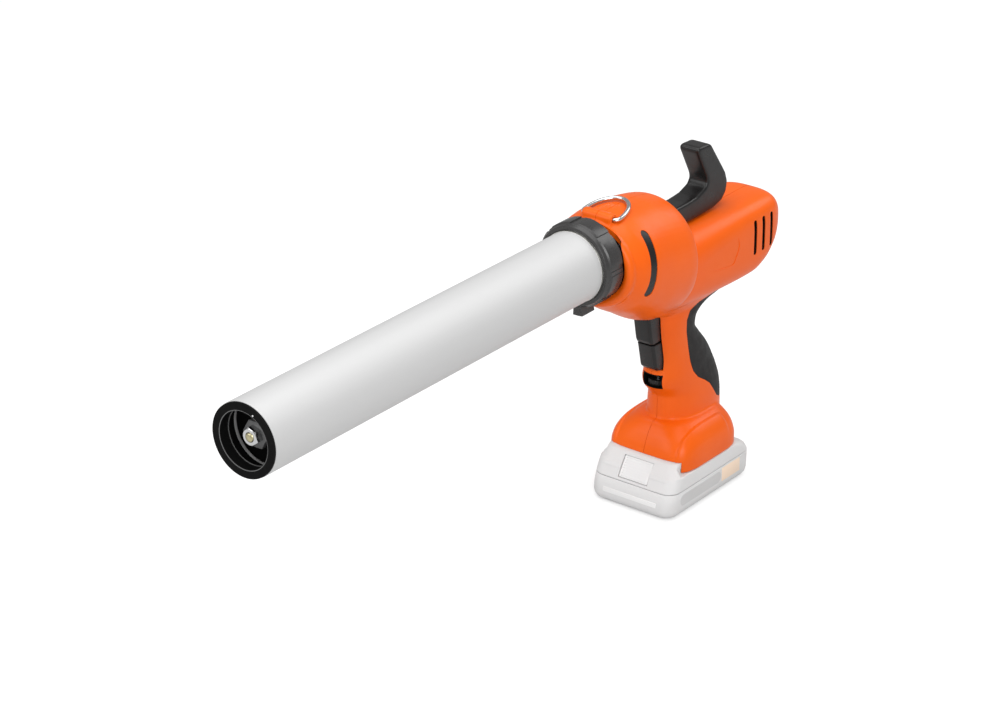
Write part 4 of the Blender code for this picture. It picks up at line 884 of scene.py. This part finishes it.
@dataclass
class Housing:
    """The two moulded halves, the soft grip, the side strips and the screws."""

    wall: float = 0.0026
    pad: float = 0.003
    seam: float = 0.0003
    voxel: float = 0.001
    vents: tuple[float, ...] = (0.0570, 0.0685, 0.0800)
    vent_span: Point2 = (0.1825, 0.2110)
    vent_width: float = 0.0042
    slot_ends: tuple[Point2, Point2] = ((-0.0955, 0.2495), (-0.1010, 0.2085))
    slot_width: float = 0.0072
    lug: tuple[float, float] = (-0.1080, 0.2610)
    lug_radius: float = 0.0046
    lug_half: float = 0.013

    def build(self) -> None:
        """Build and dress every piece of the housing."""
        skin = self.skin()
        region = self.pad_region(0.0)
        grip = combined(skin.copy(), region, "INTERSECT")
        grip = combined(grip, lofted(self.core(self.pad), Axis.Z, count=40, steps=24), "DIFFERENCE")
        shell = self.opened(skin)
        left = halved(shell, self.seam)
        right = mirrored(left)
        for number in range(1, 8):
            right = combined(right, self.screw_hole(number), "DIFFERENCE")
        issue(left, "shell_left", ORANGE, "housing", "housing_left")
        issue(right, "shell_right", ORANGE, "housing", "housing_right")
        cover = halved(grip, self.seam)
        issue(mirrored(cover), "grip_cover_right", RUBBER, "housing", "soft_grip_right")
        issue(cover, "grip_cover_left", RUBBER, "housing", "soft_grip_left")
        self.strips()
        self.dial_shade()
        self.screws()

    def dial_shade(self) -> None:
        """Near-black lining of the speed dial's window: painted shade on the window's walls, where the
        inside of the tool is in shadow.
        """
        bm = boxed((-0.0500, -0.0087, 0.0955), (-0.0205, 0.0081, 0.1067))
        bm = combined(bm, boxed((-0.0600, -0.0080, 0.0962), (-0.0100, 0.0074, 0.1060)), "DIFFERENCE")
        bm = combined(bm, lofted(GRIP, Axis.Z, 0.0003), "INTERSECT")
        # Painted shade: the lining darkens the window's walls.
        issue(bm, "dial_window_shade", DARK, "housing")

    def core(self, inset: float) -> tuple[Section, ...]:
        """The grip's sections, moved in under the soft cover."""
        return tuple((z, front + inset, rear - inset, half - inset, power)
                     for z, front, rear, half, power in GRIP)

    def skin(self) -> bmesh.types.BMesh:
        """The outer skin of both halves, with its fillets, bead, lug and cheeks."""
        x, z = self.lug
        lug = extruded(pill((x, z), (x, z - 0.012), 2.0 * self.lug_radius), Axis.Y,
                       -self.lug_half, self.lug_half)
        bead = self.bead()
        cheeks = [self.cheek(side) for side in (-1.0, 1.0)]
        whole = merged(lofted(DOME, Axis.X), lofted(MOTOR, Axis.X), lofted(GRIP, Axis.Z),
                       lofted(FOOT, Axis.Z), lug, bead, *cheeks)
        return melted(whole, self.voxel, 3)

    def bead(self) -> bmesh.types.BMesh:
        """The rounded ring round the collar, squeezed until the dome takes its top and bottom."""
        bm = bmesh.new()
        made = bmesh.ops.create_circle(bm, cap_ends=False, segments=20, radius=0.0044)
        bmesh.ops.rotate(bm, verts=made["verts"], cent=(0, 0, 0),
                         matrix=Matrix.Rotation(math.pi / 2.0, 3, "X"))
        bmesh.ops.translate(bm, verts=made["verts"], vec=(-0.1165, 0.0, 0.0343))
        bmesh.ops.spin(bm, geom=list(bm.verts) + list(bm.edges), cent=(0, 0, 0), axis=(1, 0, 0),
                       dvec=(0.0, 0.0, 0.0), angle=math.tau, steps=96, use_merge=True)
        bmesh.ops.remove_doubles(bm, verts=bm.verts, dist=1e-6)
        bmesh.ops.scale(bm, verts=bm.verts, vec=(1.0, 1.0, 0.86))
        bmesh.ops.translate(bm, verts=bm.verts, vec=(0.0, 0.0, 0.2262))
        bmesh.ops.recalc_face_normals(bm, faces=bm.faces)
        return bm

    def cheek(self, side: float) -> bmesh.types.BMesh:
        """A raised side wall of the foot, with its slanted top edge."""
        raised = tuple((z + (0.0016 if z > 0.045 else 0.0), front - 0.0008, rear, half, power)
                       for z, front, rear, half, power in FOOT)
        low, high = sorted((side * 0.0292, side * 0.0500))
        panel = boxed((-0.0600, low, 0.0300), (0.0170, high, 0.0800))
        return combined(lofted(raised, Axis.Z), panel, "INTERSECT")

    def pad_region(self, grow: float) -> bmesh.types.BMesh:
        """Side outline of the soft grip as a solid right across the tool."""
        middle = Vector((0.02, 0.11))
        points = []
        for place in PAD_OUTLINE:
            away = Vector(place) - middle
            spot = middle + away * (1.0 + grow / away.length)
            points.append((spot.x, spot.y))
        return extruded(points, Axis.Y, -0.05, 0.05)

    def opened(self, skin: bmesh.types.BMesh) -> bmesh.types.BMesh:
        """Hollow the skin and cut every opening through it."""
        trigger_half = 0.0084
        cavity = lofted(DOME, Axis.X, self.wall, 32, 14)
        cavity = combined(cavity, lofted(MOTOR, Axis.X, self.wall, 32, 12), "UNION")
        inner = self.core(self.pad + 0.0005)
        cavity = combined(cavity, lofted(inner, Axis.Z, self.wall, 32, 20), "UNION")
        foot = tuple(row if row[0] > 0.034 else (0.0300, *row[1:]) for row in FOOT)
        cavity = combined(cavity, lofted(foot, Axis.Z, self.wall, 32, 8), "UNION")
        shell = combined(skin, cavity, "DIFFERENCE")
        recess = combined(self.pad_region(0.0003), lofted(self.core(self.pad + 0.0003), Axis.Z,
                                                          count=40, steps=24), "DIFFERENCE")
        shell = combined(shell, recess, "DIFFERENCE")
        x, z = self.lug
        openings = [
            boxed((-0.0400, -0.0331, 0.020), (0.0308, 0.0331, 0.0375)),
            boxed((-0.0700, -0.0331, 0.020), (-0.0300, 0.0331, 0.0425)),
            boxed((-0.0750, -trigger_half, 0.1107), (-0.0180, trigger_half, 0.1606)),
            boxed((-0.0600, -0.0090, 0.0952), (-0.0200, 0.0084, 0.1070)),
            turned([(-0.14, 0.0), (-0.14, 0.0322), (-0.1166, 0.0322), (-0.1150, 0.0300),
                    (-0.1150, 0.0178), (-0.1100, 0.0178), (-0.1100, 0.0)], steps=96),
            turned([(-0.05, 0.0), (-0.05, 0.0105), (0.0, 0.0105), (0.0, 0.0)], steps=48),
            turned([(-0.05, 0.0), (-0.05, 0.0022), (0.05, 0.0022), (0.05, 0.0)],
                   centre=Vector((x, 0.0, z)), axis=Axis.Y, steps=32),
        ]
        plate = softened([(-0.0157, 0.1962), (-0.0155, 0.2060), (0.0316, 0.2124),
                          (0.0353, 0.1963), (0.0277, 0.1839), (0.0039, 0.1871)], 0.004, 6)
        openings.append(extruded(plate, Axis.Y, -0.05, -0.0302))
        low, high = self.vent_span
        radius = self.vent_width / 2.0
        for place in self.vents:
            slot = pill((place, low + radius), (place, high - radius), self.vent_width)
            openings.append(extruded(slot, Axis.Y, -0.05, 0.05))
        openings.append(extruded(pill(*self.slot_ends, self.slot_width), Axis.Y, -0.06, 0.06))

        for opening in openings:
            shell = combined(shell, opening, "DIFFERENCE")
        return shell

    def strips(self) -> None:
        """Black strips that lie in the slots of the dome."""
        for name, side in (("left", -1.0), ("right", 1.0)):
            low, high = sorted((side * 0.02, side * 0.06))
            bm = extruded(pill(*self.slot_ends, self.slot_width - 0.0006), Axis.Y, low, high)
            bm = combined(bm, lofted(DOME, Axis.X, 0.0004), "INTERSECT")
            bm = combined(bm, lofted(DOME, Axis.X, 0.0040, 40, 20), "DIFFERENCE")
            issue(bm, f"slot_strip_{name}", BLACK, "housing", f"side_insert_{name}")
            self.vent_shades(name, side)

    def vent_shades(self, name: str, side: float) -> None:
        """Near-black liners in the three air slots at the back of one side: painted shade on the slots'
        walls, where the inside of the tool is in shadow.
        """
        low_z, high_z = self.vent_span
        outer = self.vent_width - 0.0003
        inner = outer - 0.0014
        near, far = sorted((side * 0.012, side * 0.05))
        for number, place in enumerate(self.vents, 1):
            slot = pill((place, low_z + outer / 2.0), (place, high_z - outer / 2.0), outer)
            bm = extruded(slot, Axis.Y, near, far)
            bm = combined(bm, lofted(MOTOR, Axis.X, 0.0004), "INTERSECT")
            hole = pill((place, low_z + outer / 2.0), (place, high_z - outer / 2.0), inner)
            bm = combined(bm, extruded(hole, Axis.Y, near - 0.001, far + 0.001), "DIFFERENCE")
            bm = combined(bm, lofted(MOTOR, Axis.X, 0.0046, 40, 20), "DIFFERENCE")
            # Painted shade: each liner stands for the darkness inside its vent.
            issue(bm, f"vent_shade_{name}_{number}", DARK, "housing")

    def screw_hole(self, number: int) -> bmesh.types.BMesh:
        """The counterbore over one screw, on the right half."""
        low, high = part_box(f"housing_screw_{number}")
        centre = (low + high) / 2.0
        top = high.y
        profile = [(0.001, 0.0), (0.001, 0.0017), (top - 0.0022, 0.0017), (top - 0.0022, 0.0031),
                   (top + 0.015, 0.0031), (top + 0.015, 0.0)]
        return turned(profile, centre=centre, axis=Axis.Y, steps=28)

    def screws(self) -> None:
        """Screws with a rounded head and a star socket."""
        for number in range(1, 8):
            node = f"housing_screw_{number}"
            low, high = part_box(node)
            centre = (low + high) / 2.0
            head = high.y - 0.0022
            profile = [(low.y, 0.0), (low.y + 0.0016, 0.0014), (head, 0.0014), (head, 0.0028),
                       (head + 0.0010, 0.0028), (high.y - 0.0003, 0.0020), (high.y, 0.0010),
                       (high.y, 0.0)]
            bm = turned(profile, centre=centre, axis=Axis.Y, steps=32)
            star = []
            for step in range(24):
                radius = 0.0012 + 0.0003 * math.cos(math.tau * step / 4.0)
                angle = math.tau * step / 24.0
                star.append((centre.x + radius * math.cos(angle), centre.z + radius * math.sin(angle)))
            bm = combined(bm, extruded(star, Axis.Y, high.y - 0.0012, high.y + 0.001), "DIFFERENCE")
            issue(bm, f"screw_{number}", PLATED, "housing", node)


# ------------------------------------------------------------------ hanging ring
@dataclass
class HangingRing:
    """The steel ring in the lug, bent from round wire."""

    wire: float = 0.0016
    tilt: float = 9.0

    def build(self) -> None:
        """Sweep the wire round the ring's path."""
        x, z = -0.1080, 0.2610
        half = 0.0160
        bend = 0.004
        flat: list[Point2] = [(0.0, -half + bend), (0.0, 0.0), (0.0, half - bend)]
        for step in range(1, 9):
            angle = math.pi / 2.0 * step / 9
            flat.append((bend - bend * math.cos(angle), half - bend + bend * math.sin(angle)))
        for step in range(49):
            angle = math.pi / 2.0 - math.pi * step / 48.0
            flat.append((bend + 0.025 * math.cos(angle), half * math.sin(angle)))
        for step in range(1, 9):
            angle = math.pi / 2.0 * step / 9
            flat.append((bend - bend * math.sin(angle), -half + bend - bend * math.cos(angle)))
        curve = bpy.data.curves.new("hanging_ring", "CURVE")
        curve.dimensions = "3D"
        curve.bevel_depth = self.wire
        curve.bevel_resolution = 6
        spline = curve.splines.new("POLY")
        spline.points.add(len(flat) - 1)
        lean = math.radians(self.tilt)
        for point, (along, side) in zip(spline.points, flat):
            point.co = (x + along * math.cos(lean), side, z + along * math.sin(lean), 1.0)
        spline.use_cyclic_u = True
        carrier = bpy.data.objects.new("ring_path", curve)
        bpy.context.scene.collection.objects.link(carrier)
        bpy.context.view_layer.update()
        graph = bpy.context.evaluated_depsgraph_get()
        mesh = bpy.data.meshes.new_from_object(carrier.evaluated_get(graph))
        bm = bmesh.new()
        bm.from_mesh(mesh)
        bpy.data.objects.remove(carrier)
        bpy.data.meshes.remove(mesh)
        issue(bm, "hanging_ring", PLATED, "hanger", "d_ring")


# ------------------------------------------------------------------ controls
@dataclass
class Controls:
    """The two triggers and the speed dial."""

    half: float = 0.0078
    grips: int = 22

    def build(self) -> None:
        """Build and dress the controls."""
        upper = [(-0.0525, 0.1600), (-0.0520, 0.1575), (-0.0485, 0.1395), (-0.0470, 0.1368),
                 (-0.0280, 0.1368), (-0.0280, 0.1600)]
        lower = [(-0.0463, 0.1352), (-0.0455, 0.1330), (-0.0415, 0.1150), (-0.0380, 0.1118),
                 (-0.0240, 0.1118), (-0.0240, 0.1352)]
        self.trigger("trigger_top", upper, "upper_trigger")
        self.trigger("trigger_low", lower, "lower_trigger")
        self.dial()
        dress("switch_module", BLACK)
        dress("dial_axle", PLATED)

    def trigger(self, name: str, outline: list[Point2], node: str) -> None:
        """One trigger with bevelled front corners and soft edges."""
        bm = extruded(outline, Axis.Y, -self.half, self.half)
        front = sorted({round(x, 5) for x, _ in outline})[3]
        edges = [edge for edge in bm.edges
                 if max(vert.co.x for vert in edge.verts) <= front + 1e-5
                 and abs(edge.verts[0].co.y - edge.verts[1].co.y) < 1e-6]
        bmesh.ops.bevel(bm, geom=edges, offset=0.0017, segments=1, profile=0.5, affect="EDGES",
                        material=-1)
        edges = [edge for edge in bm.edges if edge.calc_face_angle(0.0) > math.radians(18.0)]
        bmesh.ops.bevel(bm, geom=edges, offset=0.0005, segments=3, profile=0.5, affect="EDGES",
                        material=-1)
        issue(bm, name, BLACK, node, node)

    def dial(self) -> None:
        """The thumb wheel with rounded grips round its edge."""
        low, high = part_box("speed_dial")
        centre = (low + high) / 2.0
        outline = []
        count = self.grips * 6
        for step in range(count):
            angle = math.tau * step / count
            radius = 0.0084 - 0.0006 * abs(math.sin(0.5 * angle * self.grips)) ** 4
            outline.append((centre.x + radius * math.cos(angle), radius * math.sin(angle)))
        bm = extruded(outline, Axis.Z, low.z, high.z, bevel=0.0003, segments=1)
        bm = combined(bm, turned([(low.z - 0.01, 0.0), (low.z - 0.01, 0.0026), (high.z + 0.01, 0.0026),
                                  (high.z + 0.01, 0.0)], centre=centre, axis=Axis.Z, steps=32),
                      "DIFFERENCE")
        issue(bm, "thumb_wheel", BLACK, "dial", "speed_dial")


# ------------------------------------------------------------------ battery
@dataclass
class Battery:
    """The slide-on battery: tray, lid, button, side panels and cells."""

    front: float = -0.0635
    rear: float = 0.0510
    half: float = 0.0385
    button_half: float = 0.0132
    ribs: int = 8

    def rounded(self, bm: bmesh.types.BMesh, level: tuple[float, float, float, float, float],
                turns: int = 10) -> list:
        """Add one rounded rectangle at a height.

        Args:
            bm: The mesh that takes it.
            level: Height, front, rear, half width and corner radius.
            turns: Facets in each corner.

        Returns:
            The ring's edges.
        """
        z, low, high, half, radius = level
        verts, edges = grow_circle(bm, 4 * (turns + 1))
        ordered = sorted(verts, key=lambda vert: math.atan2(vert.co.y, vert.co.x) % math.tau)
        corners = ((high - radius, half - radius, 0.0), (low + radius, half - radius, 90.0),
                   (low + radius, -half + radius, 180.0), (high - radius, -half + radius, 270.0))
        spots = []
        for x, y, start in corners:
            for step in range(turns + 1):
                angle = math.radians(start + 90.0 * step / turns)
                spots.append((x + radius * math.cos(angle), y + radius * math.sin(angle), z))
        for vert, spot in zip(ordered, spots):
            vert.co = spot
        return edges

    def stacked(self, levels: list[tuple[float, float, float, float, float]]) -> bmesh.types.BMesh:
        """A closed solid through rounded rectangles at rising heights."""
        bm = bmesh.new()
        rings = [self.rounded(bm, level) for level in levels]
        for first, second in zip(rings, rings[1:]):
            bmesh.ops.bridge_loops(bm, edges=first + second)
        bmesh.ops.edgeloop_fill(bm, edges=rings[0])
        bmesh.ops.edgeloop_fill(bm, edges=rings[-1])
        bmesh.ops.recalc_face_normals(bm, faces=bm.faces)
        return bm

    def build(self) -> None:
        """Build and dress the battery."""
        self.tray()
        self.lid()
        self.button()
        self.trim()
        for number in range(1, 6):
            dress(f"battery_cell_{number}", WRAP)

    def tray(self) -> None:
        """The lower shell with its soft bottom edge."""
        front, rear, half = self.front, self.rear, self.half
        levels = [(0.0, front + 0.0062, rear - 0.0066, half - 0.0056, 0.009),
                  (0.0006, front + 0.0046, rear - 0.0052, half - 0.0042, 0.0095),
                  (0.0022, front + 0.0022, rear - 0.0032, half - 0.0022, 0.010),
                  (0.0045, front + 0.0008, rear - 0.0018, half - 0.0007, 0.0105),
                  (0.0075, front, rear - 0.0010, half, 0.011),
                  (0.0150, front + 0.0010, rear - 0.0006, half, 0.011),
                  (0.0206, front + 0.0026, rear - 0.0001, half - 0.0001, 0.011),
                  (0.0212, front + 0.0032, rear - 0.0006, half - 0.0006, 0.0105)]
        bm = self.stacked(levels)
        room = self.stacked([(0.0036, front + 0.0066, rear - 0.0066, half - 0.0048, 0.006),
                             (0.0078, front + 0.0060, rear - 0.0036, half - 0.0026, 0.008),
                             (0.0300, front + 0.0060, rear - 0.0036, half - 0.0026, 0.008)])
        bm = combined(bm, room, "DIFFERENCE")
        issue(bm, "tray", PALE, "battery", "battery_tray")

    def lid(self) -> None:
        """The upper shell with its rails and the button's recess."""
        front, rear, half = self.front, self.rear, self.half
        bm = self.stacked([(0.0216, front + 0.0036, rear - 0.0006, half - 0.0006, 0.0105),
                           (0.0222, front + 0.0034, rear - 0.0004, half, 0.011),
                           (0.0268, front + 0.0056, rear - 0.0036, half, 0.011),
                           (0.0290, front + 0.0067, rear - 0.0066, half - 0.0001, 0.011),
                           (0.0326, front + 0.0086, rear - 0.0142, half - 0.0004, 0.011),
                           (0.0332, front + 0.0096, rear - 0.0160, half - 0.0012, 0.0105)])
        bm = combined(bm, boxed((-0.0420, -0.0270, 0.0300), (0.0285, 0.0270, 0.0419)), "UNION")
        tongue = self.stacked([(0.0300, front + 0.0068, -0.0200, 0.0382, 0.0115),
                               (0.0360, front + 0.0110, -0.0200, 0.0366, 0.0110),
                               (0.0412, front + 0.0152, -0.0200, 0.0348, 0.0100),
                               (0.0421, front + 0.0166, -0.0204, 0.0338, 0.0092)])
        for side in (-1.0, 1.0):
            low, high = sorted((side * 0.0327, side * 0.0500))
            room = boxed((front + 0.0165, low, 0.0333), (0.0, high, 0.0600))
            tongue = combined(tongue, room, "DIFFERENCE")
        bm = combined(bm, tongue, "UNION")
        groove = boxed((-0.0415, -0.0400, 0.0338), (0.0400, -0.0290, 0.0372))
        bm = combined(bm, groove, "DIFFERENCE")
        bm = combined(bm, boxed((-0.0415, 0.0290, 0.0338), (0.0400, 0.0400, 0.0372)), "DIFFERENCE")
        room = self.stacked([(0.0100, front + 0.0125, rear - 0.0086, half - 0.0026, 0.008),
                             (0.0230, front + 0.0125, rear - 0.0086, half - 0.0026, 0.008)])
        bm = combined(bm, room, "DIFFERENCE")
        low, high = 0.0236, 0.0395
        outline = [(front - 0.01, low), (front + 0.0122, low), (front + 0.0216, high),
                   (front - 0.01, high)]
        pocket = extruded(outline, Axis.Y, -self.button_half - 0.0005, self.button_half + 0.0005)
        bm = combined(bm, pocket, "DIFFERENCE")
        issue(bm, "lid", PALE, "battery", "battery_lid")

    def button(self) -> None:
        """The release button with its row of ribs."""
        low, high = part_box("battery_button")
        front = self.front
        outline = [(front + 0.0046, low.z), (front + 0.0094, low.z), (front + 0.0188, high.z),
                   (front + 0.0140, high.z)]
        bm = extruded(outline, Axis.Y, -self.button_half, self.button_half, bevel=0.0005)
        reach = self.button_half - 0.0018
        for number in range(self.ribs):
            share = (number + 0.7) / (self.ribs + 0.4)
            x = front + 0.0044 + share * 0.0094
            z = low.z + share * (high.z - low.z)
            rib = boxed((x - 0.0020, -reach, z - 0.0004), (x + 0.0010, reach, z + 0.0004))
            bmesh.ops.rotate(rib, verts=rib.verts, cent=(x, 0.0, z),
                             matrix=Matrix.Rotation(math.radians(32.0), 3, "Y"))
            bm = combined(bm, rib, "DIFFERENCE")
        issue(bm, "release_button", PALE_LIGHT, "button", "battery_button")

    def trim(self) -> None:
        """Side panels, the plain cream plates and the light bar in front."""
        half = self.half
        for name, side in (("left", -1.0), ("right", 1.0)):
            low, high = sorted((side * (half - 0.0008), side * (half + 0.00015)))
            panel = extruded(pill((-0.0440, 0.0140), (0.0020, 0.0140), 0.0096), Axis.Y, low, high,
                             bevel=0.0002, segments=1)
            issue(panel, f"side_panel_{name}", PALE_DARK, "battery")
            plate = boxed((0.0080, low, 0.0085), (0.0330, high, 0.0200), 0.0002)
            issue(plate, f"side_plate_{name}", CREAM, "battery")
        bar = boxed((self.front + 0.0003, -0.0250, 0.0062), (self.front + 0.0020, 0.0250, 0.0136), 0.0003)
        issue(bar, "front_bar", PALE_LIGHT, "battery")


# ------------------------------------------------------------------ inside
@dataclass
class Inside:
    """Pieces inside the housing, which keep the frame's shape."""

    def build(self) -> None:
        """Dress every inner piece."""
        for node, finish in (("frame_plate_left", GROUND), ("frame_plate_right", GROUND),
                             ("shaft_bearing_left", YELLOW_ZINC), ("shaft_bearing_right", YELLOW_ZINC),
                             ("motor_can", GROUND), ("motor_rotor", GROUND), ("motor_fan", DARK),
                             ("gearbox_case", GROUND), ("terminal_block", DARK),
                             ("rod_bushing", BLACK)):
            dress(node, finish)


# ------------------------------------------------------------------ studio
@dataclass
class Studio:
    """Floor, soft lights and the camera."""

    eye: tuple[float, float, float] = (-1.85245, -1.24664, 1.14210)
    look: tuple[float, float, float] = (0.7202, 0.5523, -0.4198)
    lens: float = 114.2

    def build(self) -> None:
        """Set up everything round the tool."""
        self.floor()
        self.camera()
        self.lamp("overhead", (-0.3, 0.1, 2.3), 2.2, 34.0)
        self.lamp("key", (-1.7, -2.0, 1.5), 1.6, 41.0)
        self.lamp("fill", (-2.2, 1.0, 1.6), 1.6, 20.0)
        self.lamp("rim", (1.7, -0.6, 1.6), 1.2, 12.0)
        self.air()
        bpy.context.scene.view_settings.view_transform = "Standard"

    def air(self) -> None:
        """White surroundings: full white behind the tool, softer where they light it."""
        world = bpy.data.worlds.new("studio_air")
        world.use_nodes = True
        tree = world.node_tree
        seen = tree.nodes["Background"]
        seen.inputs["Strength"].default_value = 1.0
        seen.inputs["Color"].default_value = (1.0, 1.0, 1.0, 1.0)
        soft = tree.nodes.new("ShaderNodeBackground")
        soft.inputs["Strength"].default_value = 0.36
        soft.inputs["Color"].default_value = (1.0, 1.0, 1.0, 1.0)
        ray = tree.nodes.new("ShaderNodeLightPath")
        mix = tree.nodes.new("ShaderNodeMixShader")
        tree.links.new(ray.outputs["Is Camera Ray"], mix.inputs[0])
        tree.links.new(soft.outputs["Background"], mix.inputs[1])
        tree.links.new(seen.outputs["Background"], mix.inputs[2])
        tree.links.new(mix.outputs["Shader"], tree.nodes["World Output"].inputs["Surface"])
        bpy.context.scene.world = world

    def floor(self) -> None:
        """A plain pale floor that the tool stands on."""
        bm = bmesh.new()
        bmesh.ops.create_grid(bm, x_segments=2, y_segments=2, size=6.0)
        item = as_object(bm, "floor")
        pale = bpy.data.materials.new("pale_floor")
        pale.use_nodes = True
        shader = pale.node_tree.nodes["Principled BSDF"]
        shader.inputs["Base Color"].default_value = (0.62, 0.62, 0.62, 1.0)
        shader.inputs["Roughness"].default_value = 0.9
        shader.inputs["Specular IOR Level"].default_value = 0.0
        shader.inputs["Emission Color"].default_value = (1.0, 1.0, 1.0, 1.0)
        seen = pale.node_tree.nodes.new("ShaderNodeLightPath")
        lift = pale.node_tree.nodes.new("ShaderNodeMath")
        lift.operation = "MULTIPLY"
        lift.inputs[1].default_value = 0.44
        pale.node_tree.links.new(seen.outputs["Is Camera Ray"], lift.inputs[0])
        pale.node_tree.links.new(lift.outputs["Value"], shader.inputs["Emission Strength"])
        pale.cycles.emission_sampling = "NONE"
        item.data.materials.append(pale)

    def camera(self) -> None:
        """The camera at the view that the tool is drawn from."""
        data = bpy.data.cameras.new("view")
        data.lens = self.lens
        data.sensor_width = 36.0
        data.clip_end = 30.0
        item = bpy.data.objects.new("view", data)
        item.location = self.eye
        item.rotation_euler = Vector(self.look).to_track_quat("-Z", "Y").to_euler()
        bpy.context.scene.collection.objects.link(item)
        bpy.context.scene.camera = item

    def lamp(self, name: str, place: tuple[float, float, float], size: float, power: float) -> None:
        """One soft square lamp that points at the tool."""
        data = bpy.data.lights.new(name, "AREA")
        data.size = size
        data.energy = power
        item = bpy.data.objects.new(name, data)
        item.location = place
        aim = Vector((-0.2, 0.0, 0.15)) - Vector(place)
        item.rotation_euler = aim.to_track_quat("-Z", "Y").to_euler()
        bpy.context.scene.collection.objects.link(item)


def main() -> None:
    """Build every sub-assembly."""
    logging.basicConfig(level=logging.INFO, format="%(name)s: %(message)s")
    for assembly in (Barrel(), PushRod(), Housing(), HangingRing(), Controls(), Battery(), Inside(),
                     Studio()):
        assembly.build()


if __name__ == "__main__":
    main()
